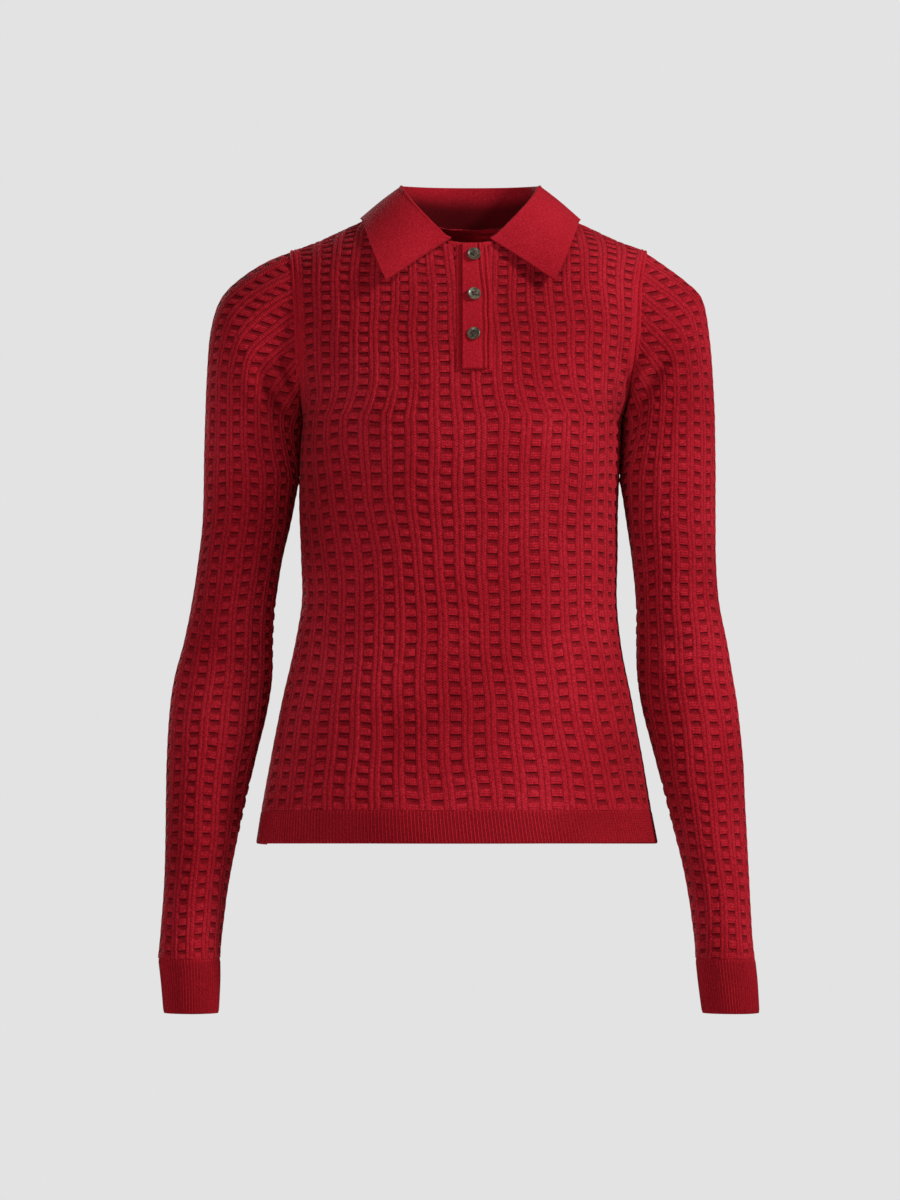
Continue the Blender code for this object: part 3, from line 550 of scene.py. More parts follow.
def armhole_loop(direction, ribs, count):
    """Points of the armhole's edge. Rib 0 lies at the shoulder tip, and the count runs to the front."""
    shares = (1 - np.cos(np.linspace(0, math.pi, 121))) / 2
    heights = ARMPIT + shares * (SHOULDER_TIP - ARMPIT)
    across = panel_half(heights)
    x = trunk("middle", heights) + direction * across
    front = np.stack([x, body_y(-1, across, heights), heights], axis=1)
    back = np.stack([x, body_y(1, across, heights), heights], axis=1)
    half = count / 2
    wrapped = np.mod(ribs, count)
    on_front = wrapped <= half
    down_front = along(front[::-1], np.where(on_front, wrapped, 0), half)
    up_back = along(back, np.where(on_front, 0, wrapped - half), half)
    return np.where(on_front[:, None], down_front, up_back)


# ---------------------------------------------------------------------------- the knit's cells

# Depth below the crest in mm, from the middle of a rib to the valley beside it, in rib spacings
RIB_PROFILE = (
    # off    depth
    (0.000, 1.00),
    (0.065, 0.22),
    (0.125, 0.00),
    (0.190, 0.20),
    (0.250, 0.95),
)
# Depth below the crest in mm up one cell, on the line between two ribs, in cells
PAD_PROFILE = (
    # up     depth
    (0.00, 0.55),
    (0.06, 0.25),
    (0.25, 0.15),
    (0.42, 0.28),
    (0.50, 0.62),
    (0.56, 1.30),
    (0.75, 1.45),
    (0.96, 1.60),
    (1.00, 0.55),
)
PAD_STARTS = 0.25
PAD_FULL = 0.30
COLUMN_STEPS = (-0.5, -0.30, -0.25, -0.19, -0.125, 0.0, 0.125, 0.19, 0.25, 0.30)
ROW_STEPS = (0.0, 0.06, 0.25, 0.42, 0.50, 0.56, 0.75, 0.96)
BODY_CELLS = 30  # cells up the body, from the hem band to the armpit
BODY_ROW = 0.0106  # height of a cell just above the armpit
BODY_CLOSER = 0.85  # and how the cells get lower towards the shoulder, for each metre
SLEEVE_BLOCKS = 10  # blocks on each side of a sleeve's outermost rib, before they are cut to its edge
SLEEVE_CELLS = 35  # cells up a sleeve, from the cuff to the armpit
SLEEVE_ROW = 0.0104
SLEEVE_LEVEL = 8  # the ring of a sleeve that is level with the armpit
PATH_ROWS = 61  # rows of the smooth form above the armpit, from which the cells' rows are read

RIB_SUNK = 0.10  # mm by which a rib lies under the crest, on average
PINCH = 0.10  # mm by which a rib is pinched once a cell
PINCH_AT = 0.85
WINDOW_FROM = 0.9  # mm of depth from which a pad's profile counts as window
WINDOW_VARIES = 0.2
PAD_VARIES = 0.10
MOOD_ROWS = 80
MOOD_COLUMNS = 40

# How the knit strays from true: size in ribs or cells, radians for each cell and for each rib
ASIDE_WAVES = ((0.035, 0.43, 0.90), (0.030, 0.91, -0.50))
LIFT_WAVES = ((0.100, 0.21, 0.80), (0.080, -0.33, 1.90))
WAVE_TURN = 6.28

# share of the way from armpit to shoulder, rib spacings from a panel's middle to its armhole
PANEL_EDGE = (
    (0.00, 10.50),
    (0.10, 10.05),
    (0.25, 9.55),
    (0.45, 9.20),
    (1.00, 9.10),
)
# ring of the sleeve, rib spacings from its outermost line to the underarm seam
SLEEVE_EDGE = (
    (0.0, 10.00),
    (3.0, 9.90),
    (5.0, 9.30),
    (8.0, 8.20),
    (13.0, 7.20),
    (18.0, 5.75),
)


def table(rows, at):
    return np.interp(at, column(rows, 0), column(rows, 1))


def relief(across, up, mood):
    """Depth of the knit below its crest. across counts ribs, up counts cells, mood varies each cell."""
    near = np.abs(across - np.round(across))
    share = up - np.floor(up)
    rib = table(RIB_PROFILE, near)
    pinch = PINCH * np.cos(2 * np.pi * (share - PINCH_AT)) + RIB_SUNK
    pad = table(PAD_PROFILE, share)
    pad = np.where(pad > WINDOW_FROM, pad * (1 + WINDOW_VARIES * mood), pad + PAD_VARIES * mood)
    mix = ease((near - PAD_STARTS) / (PAD_FULL - PAD_STARTS))
    return 0.001 * np.where(near < PAD_STARTS, rib + pinch, rib * (1 - mix) + pad * mix)


def cell_moods(across, up, seed):
    """A steady number from -1 to 1 for each cell."""
    rolls = np.random.default_rng(seed).uniform(-1, 1, (MOOD_ROWS, MOOD_COLUMNS))
    row = np.clip(np.floor(up + 0.001).astype(int), 0, MOOD_ROWS - 1)
    col = np.clip(np.floor(across + MOOD_COLUMNS / 2).astype(int), 0, MOOD_COLUMNS - 1)
    return rolls[row, col]


def wander(across, up, seed):
    """How far the columns and the rows stray from true, in rib spacings and in cells."""
    waves = ASIDE_WAVES + LIFT_WAVES
    phases = np.random.default_rng(seed).uniform(0, WAVE_TURN, len(waves))
    swings = [
        size * np.sin(each_cell * up + each_rib * across + phase)
        for (size, each_cell, each_rib), phase in zip(waves, phases)
    ]
    return swings[0] + swings[1], swings[2] + swings[3]


def places(half_count):
    """Column places across whole blocks, a block being one rib with half a pad on each side."""
    blocks = 2 * half_count + 1
    starts = np.arange(blocks) - half_count
    return np.append((starts[:, None] + np.array(COLUMN_STEPS)).reshape(-1), half_count + 0.5)


def steps_up(cells):
    return np.append((np.arange(cells)[:, None] + np.array(ROW_STEPS)).reshape(-1), cells)


def cut(place, edge, first):
    """Places past an edge close up to it. The cell that the edge crosses spreads over what is left."""
    size = np.abs(place)
    base = np.floor(size - first + 1e-9) + first
    base = np.where(size < first, 0.0, base)
    width = np.where(size < first, first, 1.0)
    crossed = base + (size - base) / width * np.maximum(edge - base, 0)
    inside = np.where(base + width <= edge, size, crossed)
    return np.sign(place) * np.minimum(inside, edge)


def run_up(paths, values, wanted):
    """Read values down each column of paths at wanted distances along it. Returns them row by row."""
    gaps = np.linalg.norm(np.diff(paths, axis=0), axis=-1)
    lengths = np.concatenate([np.zeros((1, paths.shape[1])), np.cumsum(gaps, axis=0)])
    result = np.empty((len(wanted), paths.shape[1], values.shape[-1]))
    for col in range(paths.shape[1]):
        for k in range(values.shape[-1]):
            result[:, col, k] = np.interp(wanted[:, col], lengths[:, col], values[:, col, k])
    return result


def lengths_of(paths):
    return np.linalg.norm(np.diff(paths, axis=0), axis=-1).sum(axis=0)


def cells_wanted(cells_up):
    """The rows of cells up each column, cut where the column ends."""
    cells = steps_up(int(math.ceil(cells_up.max())))[1:]
    return cut(cells[:, None], cells_up[None, :], 1.0)


# ---------------------------------------------------------------------------- cloth walls

def normals_of(grid, closed):
    """Outward unit normals of a grid of rows by columns, whose columns may close into a ring."""
    up = np.gradient(grid, axis=0)
    if closed:
        round_it = (np.roll(grid, -1, axis=1) - np.roll(grid, 1, axis=1)) / 2
    else:
        round_it = np.gradient(grid, axis=1)
    normal = np.cross(round_it, up)
    return normal / np.maximum(np.linalg.norm(normal, axis=-1, keepdims=True), 1e-12)


def fold_shift(points):
    """How far the folds push the cloth back or forward at each point."""
    shift = np.zeros(points.shape)
    for side, x0, z0, x1, z1, width, deep in FOLDS + CREASES:
        run = np.array([x1 - x0, z1 - z0])
        length = np.linalg.norm(run)
        from_start = np.stack([points[..., 0] - x0, points[..., 2] - z0], axis=-1)
        share = np.clip(from_start @ run / length ** 2, 0, 1)
        distance = np.linalg.norm(from_start - share[..., None] * run, axis=-1)
        taper = np.sin(np.pi * np.clip(0.15 + 0.7 * share, 0, 1))
        facing = ease(points[..., 1] * side / 0.02)
        shift[..., 1] -= side * deep * np.exp(-((distance / width) ** 2)) * taper * facing
    return shift


def wall(name, outer, inner, slots, closed, kept, across, up):
    """A closed wall between a fine outer grid and an inner one with fewer columns.

    kept marks the blocks that are there, and None stands for all. across and up give the knit's own
    coordinates for the shader.
    """
    rows, fine = outer.shape[:2]
    coarse = inner.shape[1]
    blocks = coarse if closed else coarse - 1
    each = (fine if closed else fine - 1) // blocks
    kept = np.ones((rows - 1, blocks), bool) if kept is None else kept

    def out(row, col):
        return row * fine + (col % fine if closed else col)

    def inn(row, col):
        return rows * fine + row * coarse + (col % coarse if closed else col)

    row, block = np.nonzero(kept)
    quads = []
    for step in range(each):
        col = block * each + step
        corners = (out(row, col), out(row, col + 1), out(row + 1, col + 1), out(row + 1, col))
        quads.append(np.stack(corners, axis=1))
    corners = (inn(row, block), inn(row + 1, block), inn(row + 1, block + 1), inn(row, block + 1))
    inside = np.stack(corners, axis=1)
    faces = np.concatenate(quads).tolist() + inside.tolist() + rims(kept, closed, each, out, inn)
    material = np.zeros(len(faces), int)
    first_inside = each * len(row)
    material[first_inside:first_inside + len(inside)] = 1
    points = np.concatenate([outer.reshape(-1, 3), inner.reshape(-1, 3)])
    coordinates = np.stack([across, up], axis=-1)
    sparse = coordinates[:, ::each][:, :coarse]
    coordinates = np.concatenate([coordinates.reshape(-1, 2), sparse.reshape(-1, 2)])
    return make_piece(name, points, faces, slots, material, coordinates)


def rims(kept, closed, each, out, inn):
    """Faces that close a wall along every edge of the blocks that are there."""
    faces = []
    none = np.zeros((1, kept.shape[1]), bool)
    below = np.vstack([none, kept[:-1]])
    above = np.vstack([kept[1:], none])
    before = np.roll(kept, 1, axis=1)
    after = np.roll(kept, -1, axis=1)
    if not closed:
        before[:, 0] = False
        after[:, -1] = False
    for row, block in zip(*np.nonzero(kept & ~(below & above & before & after))):
        first = block * each
        low = [out(row, col) for col in range(first, first + each + 1)]
        high = [out(row + 1, col) for col in range(first, first + each + 1)]
        if not below[row, block]:
            faces.append((*low[::-1], inn(row, block), inn(row, block + 1)))
        if not above[row, block]:
            faces.append((*high, inn(row + 1, block + 1), inn(row + 1, block)))
        if not before[row, block]:
            faces.append((low[0], high[0], inn(row + 1, block), inn(row, block)))
        if not after[row, block]:
            faces.append((high[-1], low[-1], inn(row, block + 1), inn(row + 1, block + 1)))
    return faces


def make_piece(name, points, faces, slots, material=None, coordinates=None):
    faces = [[int(corner) for corner in face] for face in faces]
    used = np.unique(np.concatenate([np.array(face) for face in faces]))
    renumber = np.zeros(len(points), int)
    renumber[used] = np.arange(len(used))
    numbered = renumber.tolist()
    mesh = bpy.data.meshes.new(name)
    mesh.from_pydata(points[used].tolist(), [], [[numbered[k] for k in face] for face in faces])
    for slot in slots:
        mesh.materials.append(slot)
    if material is not None and len(slots) > 1:
        mesh.polygons.foreach_set("material_index", material.astype(np.int32))
    if coordinates is not None:
        corners = np.empty(len(mesh.loops), np.int32)
        mesh.loops.foreach_get("vertex_index", corners)
        layer = mesh.uv_layers.new(name="knit")
        layer.data.foreach_set("uv", coordinates[used][corners].astype(np.float32).reshape(-1))
    mesh.shade_smooth()
    mesh.set_sharp_from_angle(angle=math.radians(80))
    piece = bpy.data.objects.new(name, mesh)
    bpy.context.scene.collection.objects.link(piece)
    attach(piece, "root")
    return piece


def cloth_area(outer):
    """Area of the form under the knit's relief, from a grid of its points."""
    first = outer[1:, :-1] - outer[:-1, :-1]
    second = outer[:-1, 1:] - outer[:-1, :-1]
    return float(np.linalg.norm(np.cross(first, second), axis=-1).sum())


# ---------------------------------------------------------------------------- waffle pieces

def deepest_near(pushed, each):
    """The deepest push within a block on either side of each block's edge."""
    padded = np.pad(pushed, ((0, 0), (each, each)), mode="edge")
    windows = np.lib.stride_tricks.sliding_window_view(padded, 2 * each + 1, axis=1)
    return windows.max(axis=-1)[:, ::each]


def knit_wall(name, form, up, kept, side, seed, slots):
    """Raise the knit on form, which holds crest points, normals and places in ribs, over a plain inside."""
    base, normal, across = form[..., :3], form[..., 3:6], form[..., 6]
    aside, lift = wander(across, up, seed)
    seen = across + aside
    height = up + lift
    depth = relief(seen, height, cell_moods(seen - 0.5, height, seed))
    shift = fold_shift(base)
    outer = base + shift - normal * depth[..., None]
    each = len(COLUMN_STEPS)
    inner = (base - normal * WALL)[:, ::each]
    inwards = -np.sign(base[..., 1])
    inner[..., 1] += inwards[:, ::each] * deepest_near(shift[..., 1] * inwards, each)
    for grid in (outer, inner) if side else ():
        high = grid[..., 2] > ARMPIT + SEAM_HEIGHT
        own = side * np.maximum(side * grid[..., 1], 0)
        grid[..., 1] = np.where(high, own, grid[..., 1])
    piece = wall(name, outer, inner, slots, False, kept, seen, height)
    return piece, cloth_area(base)


def blocks_there(across, up):
    """Blocks with any width and any height."""
    each = len(COLUMN_STEPS)
    grown = np.diff(up, axis=0)
    width = np.abs(np.diff(across[:, ::each], axis=1))
    wide = np.maximum(width[1:], width[:-1]) > 0.01
    columns = range(width.shape[1])
    tall = np.stack([grown[:, b * each:(b + 1) * each + 1].max(axis=1) for b in columns], 1)
    return wide & (tall > 0.002)


def paths_up(form, dense, at, ribs):
    """Each column's path up a form: its points, its normals and its place in ribs."""
    rows = np.concatenate([form, normals_of(form, False)], axis=-1)
    paths = []
    for row, where, in_ribs in zip(rows, at, ribs):
        read = [np.interp(where, dense, row[:, axis]) for axis in range(6)]
        paths.append(np.stack([*read, in_ribs], axis=-1))
    return np.array(paths)


def panel(name, side, seed, slots):
    """Front or back, level cells to the armpit and cells along the cloth above it."""
    low, levels = panel_below(side)
    high, above = panel_above(side)
    form = np.concatenate([low, high])
    up = np.concatenate([np.tile(levels[:, None], (1, low.shape[1])), BODY_CELLS + above])
    if side < 0:
        lift = HEM_FRONT_RISE * ease((HEM_BAND_TOP + HEM_RISE_FADES - form[..., 2]) / HEM_RISE_FADES)
        form[..., 2] += lift * np.clip(-form[..., 1] / HEM_RISE_DEPTH, 0, 1)
    kept = blocks_there(form[..., 6], up)
    if side < 0:
        slit = form[:-1, ::len(COLUMN_STEPS), 2][:, RIBS // 2] > PLACKET_BOTTOM + SLIT_SHORTER
        kept[slit, RIBS // 2] = False
    return knit_wall(name, form, up, kept, side, seed, slots)


def panel_below(side):
    """The level rows of a panel from the hem band to the armpit, and how many cells up each one is."""
    ribs = cut(places(RIBS // 2), PANEL_EDGE[0][1], 0.5)
    levels = steps_up(BODY_CELLS)
    bottom = HEM_BAND_TOP + SEAM_GAP
    heights = bottom + levels / BODY_CELLS * (ARMPIT - bottom)
    points = np.array([panel_row(side, z, 0.0, -side * ribs) for z in heights])
    across = np.tile(ribs, (len(points), 1))[..., None]
    return np.concatenate([points, normals_of(points, False), across], axis=-1), levels


def panel_above(side):
    """The rows above the armpit, which run along the cloth, and how many cells up each point is."""
    spots = places(RIBS // 2)
    shares = 1 - (1 - np.linspace(0, 1, PATH_ROWS)) ** 1.7
    dense = np.linspace(-HALF_RIBS, HALF_RIBS, 211)
    form = np.array([panel_row(side, None, v, -side * dense) for v in shares])
    edges = table(PANEL_EDGE, shares)
    ribs = np.array([cut(spots, edge, 0.5) for edge in edges])
    path = paths_up(form, dense, ribs * (edges[0] / edges)[:, None], ribs)
    runs = lengths_of(path[..., :3])
    wanted = cells_wanted(runs * (1 + BODY_CLOSER * runs) / BODY_ROW)
    reached = (np.sqrt(1 + 4 * BODY_CLOSER * BODY_ROW * wanted) - 1) / (2 * BODY_CLOSER)
    return run_up(path[..., :3], path, reached), wanted


def sleeve_row(rings, direction, k, ribs):
    """Points round a sleeve at ring k, counted from the armhole, on its crest surface."""
    knots = np.arange(len(rings))
    row = [float(spline(knots, column(rings, measure), k)) for measure in range(6)]
    touching = float(ease((row[3] - TOUCH_ENDS) / TOUCH_FADES) * ease(k))
    row[2] -= direction * SIDE_TOUCH * touching
    loop = armhole_loop(direction, ribs, SLEEVE_RIBS)
    loop[:, 0] -= direction * TUCK
    first = ring_points(rings[0], ribs, SLEEVE_RIBS)
    fade = float(ease(1 - k / ARMHOLE_REACH))
    return ring_points(row, ribs, SLEEVE_RIBS) + fade * (loop - first)


def sleeve(name, rings, direction, seed, slots):
    """A sleeve, level cells from the cuff to the armpit and cells along the cloth over its head."""
    half = SLEEVE_RIBS / 2
    dense = np.linspace(-half, half, 161)
    spots = places(SLEEVE_BLOCKS)

    def paths(ring_at):
        form = np.array([sleeve_row(rings, direction, k, -direction * dense) for k in ring_at])
        edges = table(SLEEVE_EDGE, ring_at)
        ribs = np.array([cut(spots, edge, 0.5) for edge in edges])
        at = ribs * (half / edges)[:, None]
        return paths_up(form, dense, at, ribs), at

    levels = steps_up(SLEEVE_CELLS)
    reached = rings_reached(rings, levels / SLEEVE_CELLS)
    low, at = paths(reached)
    low[..., :3] = [sleeve_row(rings, direction, k, -direction * row) for k, row in zip(reached, at)]
    head = paths(np.linspace(SLEEVE_LEVEL, 0, PATH_ROWS))[0]
    wanted = cells_wanted(lengths_of(head[..., :3]) / SLEEVE_ROW)
    form = np.concatenate([low, run_up(head[..., :3], head, wanted * SLEEVE_ROW)])
    up = np.concatenate([np.tile(levels[:, None], (1, len(spots))), SLEEVE_CELLS + wanted])
    from_seam = np.linalg.norm(form[..., :3] - form[-1:, :, :3], axis=-1)
    dip = SEAM_DIP * np.exp(-((from_seam / SEAM_SPREAD) ** 2))
    form[..., :3] -= form[..., 3:6] * dip[..., None]
    return knit_wall(name, form, up, blocks_there(form[..., 6], up), 0, seed, slots)


def rings_reached(rings, shares):
    """The ring at each share of the way from the cuff to the armpit, along the sleeve's middle."""
    middles = np.array([[(row[0] + row[2]) / 2, row[5], (row[1] + row[3]) / 2] for row in rings])
    down = np.arange(len(rings) - 1, SLEEVE_LEVEL - 1, -1)
    reach = distances(middles[down])
    return np.interp(shares * reach[-1], reach, down)


def rib_form(rings, direction, ribs, shares):
    """A band bent over the armhole's seam, from the sleeve at share 1 to the panel at share -1."""
    seam = armhole_loop(direction, ribs, SLEEVE_RIBS)
    on_body = seam - np.array([direction * ARMHOLE_RIB_HALF, 0, 0])
    across = on_body[:, 0] - trunk("middle", on_body[:, 2])
    front, back = (body_y(side, across, on_body[:, 2]) for side in (-1, 1))
    past_top = np.abs(seam[:, 1]) > ARMHOLE_TOP
    on_body[:, 1] = np.where(past_top, np.where(seam[:, 1] < 0, front, back), seam[:, 1])
    on_arm = sleeve_row(rings, direction, 0.4, ribs) - sleeve_row(rings, direction, 0.0, ribs)
    on_arm *= ARMHOLE_RIB_HALF / np.linalg.norm(on_arm, axis=1, keepdims=True)
    on_arm += seam
    bend = (on_body + on_arm) / 2 - seam
    form = np.array([seam + share * (on_arm - on_body) / 2 + share ** 2 * bend for share in shares])
    return form + fold_shift(form)


def armhole_rib(name, rings, direction, slots):
    """A double rib that runs round the armhole over the seam of panel and sleeve."""
    steps = 260
    around = np.arange(steps) / steps
    shares = np.linspace(1, -1, 17)
    base = rib_form(rings, direction, around * SLEEVE_RIBS * -direction, shares)
    normal = normals_of(base, True)
    links = LINK_RISE * np.cos(around * 2 * np.pi * ARMHOLE_LINKS)
    profile = 0.001 * table(RIB_PROFILE, np.abs(shares) * PAD_STARTS)
    outer = base + normal * (ARMHOLE_RIB_RISE + links[None, :] - profile[:, None])[..., None]
    inner = (base - normal * ARMHOLE_RIB_WALL)[:, ::4]
    across, up = np.meshgrid(np.arange(steps) / 4, np.linspace(0, 4, len(shares)))
    return wall(name, outer, inner, slots, True, None, across, up)


# ---------------------------------------------------------------------------- ribbed bands and fine knit

RIB_WAVE = (1.0, 0.25, 0.0, 0.25)  # share of RIB_DEPTH at the four points across a fine rib
RIB_DEPTH = 0.0011
HEM_FINE_RIBS = 144  # across the front, and again across the back
CUFF_FINE_RIBS = 64
HEM_EDGE_ROLL = 0.0006
BAND_EXTRA = 0.0004  # the ribbed bands are this much thicker than the plain ones


def band_depth(rows, ribs, edge_up):
    """Depth of a ribbed band below its crest. The last rows sink under the edge of the waffle."""
    wave = np.tile(np.array(RIB_WAVE), ribs) * RIB_DEPTH
    up = np.linspace(0, 1, rows)[:, None]
    tucked = ease((up - edge_up) / (1 - edge_up))
    sunk = SEAM_DIP * tucked + HEM_EDGE_ROLL * (1 - ease(up / 0.06))
    return wave[None, :] * (1 - 0.5 * tucked) + sunk


def band(name, base, closed, depth, each, stitches_up, slots):
    """A ribbed band on the rows of base, with a plain inside that has fewer columns."""
    normal = normals_of(base, closed)
    outer = base - normal * depth[..., None]
    inner = (base - normal * (BAND_WALL + BAND_EXTRA))[:, ::each]
    rows, columns = base.shape[:2]
    across, up = np.meshgrid(np.arange(columns) / 4, np.linspace(0, stitches_up, rows))
    return wall(name, outer, inner, slots, closed, None, across, up), cloth_area(base)


def hem_band(name, side, slots):
    spots = np.linspace(-HALF_RIBS, HALF_RIBS, 4 * HEM_FINE_RIBS + 1) * -side
    heights = np.linspace(HEM, HEM_BAND_TOP + TUCK, 18)
    base = np.array([panel_row(side, z, 0.0, spots) for z in heights])
    if side < 0:
        base[..., 2] += HEM_FRONT_RISE * np.clip(-base[..., 1] / HEM_RISE_DEPTH, 0, 1)
    depth = band_depth(len(heights), HEM_FINE_RIBS, 0.90)
    depth = np.concatenate([depth, depth[:, :1]], axis=1)
    return band(name, base, False, depth, 16, 9, slots)


def cuff(name, rings, direction, slots):
    count = 4 * CUFF_FINE_RIBS
    ribs = np.arange(count) / count * SLEEVE_RIBS * -direction
    knots = np.arange(len(rings))
    levels = np.linspace(len(rings) - 1, 0, 24)
    read = np.array([spline(knots, column(rings, measure), levels) for measure in range(6)]).T
    base = np.array([ring_points(row, ribs, SLEEVE_RIBS) for row in read])
    base[-1, :, 2] += TUCK
    return band(name, base, True, band_depth(len(levels), CUFF_FINE_RIBS, 0.93), 8, 16, slots)


# ---------------------------------------------------------------------------- collar and placket

def neck_point(angle, hand):
    """The neckline at an angle round the neck: 0 in front, 90 at the side hand points to, 180 behind."""
    across = NECK_HALF * hand * np.sin(np.radians(angle))
    front = np.abs(angle) < 90
    z = np.where(front, top_edge(-1, across), top_edge(1, across))
    y = np.where(front, body_y(-1, across, z), body_y(1, across, z))
    return np.stack([NECK_X + across, y, z], axis=-1)


def inward_of(root):
    """Level directions from points of the neckline to the neck's middle."""
    inward = np.stack([NECK_X - root[:, 0], -root[:, 1], np.zeros(len(root))], axis=1)
    return inward / np.linalg.norm(inward, axis=1, keepdims=True)


def collar_lines(steps):
    """The collar's seam, fold and outer edge, from one front end round the neck to the other."""
    ends = column(COLLAR, 0)
    half = np.linspace(ends[-1], ends[0], steps + 1)
    turn = np.concatenate([half, 360 - half[::-1][1:]])
    angle = np.minimum(turn, 360 - turn)
    hand = np.where(turn <= 180, 1.0, -1.0)
    fold_z, tip_x, tip_y, tip_z = (spline(ends[::-1], column(COLLAR, k)[::-1], angle) for k in range(1, 5))
    root = neck_point(angle, hand)
    inward = inward_of(root)
    seam = root + inward * STAND_INSET + np.array([0, 0, COLLAR_SEAM])
    sideways = np.sin(np.radians(angle))
    fold = seam + inward * (FOLD_INSET + COLLAR_LEAN * sideways ** 4)[:, None]
    fold[:, 2] = np.maximum(fold_z, seam[:, 2] + STAND_LEAST)
    tip = np.stack([tip_x * hand + NECK_X, tip_y, tip_z - LEAF_DROP * hand * sideways], axis=1)
    return inward, seam, fold, tip


def collar(slots):
    """A folded collar: a stand up from the neckline, and a leaf that turns over and lies outside."""
    steps, stand_rows, fold_rows, leaf_rows = 90, 7, 9, 22
    inward, seam, fold, tip = collar_lines(steps)
    rows = [seam - np.array([0, 0, COLLAR_TUCK])]
    for share in np.linspace(0, 1, stand_rows)[:-1]:
        rows.append(seam * (1 - share) + fold * share + inward * STAND_SWELL * math.sin(math.pi * share))
    half_room = COLLAR_FOLD_ROOM / 2
    for turned in np.linspace(0, math.pi, fold_rows):
        out = -inward * half_room * (1 - math.cos(turned))
        rows.append(fold + out + np.array([0, 0, half_room * math.sin(turned)]))
    start = rows[-1]
    bulge = -inward * LEAF_SWELL + np.array([0, 0, LEAF_SWELL])
    for share in np.linspace(0, 1, leaf_rows)[1:]:
        swell = math.sin(math.pi * share) * (1 - share) ** 0.3
        rows.append(start * (1 - share) + tip * share + bulge * swell)
    base = np.array(rows)[:, ::-1]
    inner = (base - normals_of(base, False) * BAND_WALL)[:, ::2]
    length_around = np.linspace(0, COLLAR_LENGTH, base.shape[1])
    around, up = np.meshgrid(length_around / STITCH, distances(base[:, steps]) / STITCH)
    return wall("collar_cloth", base, inner, slots, False, None, around, up), cloth_area(base)


def neck_edge(slots):
    """The rolled edge of the neck hole between the ends of the collar."""
    reach = COLLAR[-1][0] + NECK_EDGE_PAST
    turn = np.linspace(-reach, reach, 65)
    root = neck_point(np.abs(turn), np.where(turn < 0, -1.0, 1.0))
    inward = inward_of(root)
    base = np.array([root + inward * aside + np.array([0, 0, up]) for aside, up in NECK_ROLL])
    inner = (base - normals_of(base, False) * NECK_EDGE_WALL)[:, ::4]
    around, up = np.meshgrid(np.arange(len(turn)) * 0.4, np.arange(len(NECK_ROLL)))
    return wall("neck_edge", base, inner, slots, False, None, around, up)


def strip(name, left, right, top, bottom, lift, relief_of, slots, rows=90, columns=28):
    """A band on the front, made from the front's own points moved out by lift."""
    across = np.linspace(0, 1, columns + 1)
    down = np.linspace(1, 0, rows + 1)
    grid = np.empty((rows + 1, columns + 1, 3))
    for k, share in enumerate(down):
        z = top + (bottom - top) * share
        x = left + (right(share) - left) * across
        y = body_y(-1, x - trunk("middle", z), np.full(columns + 1, z))
        grid[k] = np.stack([x, y, np.full(columns + 1, z)], axis=1)
    normal = normals_of(grid, False)
    raised = relief_of(across[None, :], 1 - down[:, None])
    outer = grid + normal * (lift + BAND_WALL + raised)[..., None]
    inner = (grid + normal * lift)[:, ::4]
    width = (grid[..., 0] - left) / PLACKET_STITCH
    height = (grid[..., 2] - bottom) / PLACKET_STITCH
    return wall(name, outer, inner, slots, False, None, width, height), cloth_area(grid)


def hump(place, middle, half):
    return np.exp(-(((place - middle) / half) ** 2))


def right_edge(down):
    """The slanting right edge of the top band, at a share of the way down."""
    waver = EDGE_WAVER * math.sin(WAVER_TURN * down) * math.sin(math.pi * down)
    widens = (PLACKET_RIGHT_BOTTOM - PLACKET_RIGHT_TOP) * min(1.0, PLACKET_OPENS * down)
    return PLACKET_RIGHT_TOP + widens + waver


def under_edge(down):
    return right_edge(down) + UNDER_SHIFT * (1 - min(1.0, UNDER_CLOSES * down))


def left_loops_edge(down):
    return PLACKET_LEFT + LOOPS_LAP


def right_loops_edge(down):
    return right_edge(down) + LOOPS_WIDE


def top_relief(across, up):
    """Rolled edges, the groove inside the right one, the stitches up the left one and the foot's seam."""
    raised = sum(height * hump(across, middle, half) for middle, half, height in PLACKET_RIDGES)
    loops = 0.0005 * hump(across, 0.05, 0.04) * (0.6 + 0.4 * np.cos(2 * np.pi * EDGE_STITCHES * up))
    foot = 0.0006 * hump(up, 0.012, 0.012) * (0.7 + 0.3 * np.cos(2 * np.pi * FOOT_STITCHES * across))
    return raised + loops + foot


def no_relief(across, up):
    return np.zeros(np.broadcast(across, up).shape)


def two_chains(across, up):
    """Two chains of small loops side by side."""
    chain = hump(across, 0.27, 0.12) + hump(across, 0.73, 0.12)
    counted = up * (PLACKET_TOP - PLACKET_BOTTOM) / LOOP_TALL
    links = 0.55 + 0.45 * np.cos(2 * np.pi * (counted + 2.0 * across))
    return CHAIN_RISE * chain * links + CHAIN_BASE


def placket(slots):
    """The top band, the under band behind it, and a column of loops on each side."""
    upper = strip(
        "placket_top_cloth",
        PLACKET_LEFT,
        right_edge,
        PLACKET_TOP,
        PLACKET_BOTTOM,
        CLEARANCE,
        top_relief,
        slots,
    )
    under = strip(
        "placket_under_cloth",
        PLACKET_LEFT + 0.0015,
        under_edge,
        PLACKET_TOP - 0.001,
        PLACKET_BOTTOM + 0.004,
        -WALL - UNDER_GAP - BAND_WALL,
        no_relief,
        slots,
    )
    bottom = PLACKET_BOTTOM - LOOPS_PAST
    sunk = CLEARANCE - BAND_WALL
    for name, left, edge in (
        ("placket_loops_left", PLACKET_LEFT - LOOPS_WIDE, left_loops_edge),
        ("placket_loops_right", PLACKET_RIGHT_TOP - 0.001, right_loops_edge),
    ):
        strip(name, left, edge, PLACKET_TOP, bottom, sunk, two_chains, slots, LOOP_ROWS)
    return upper, under


# ---------------------------------------------------------------------------- buttons

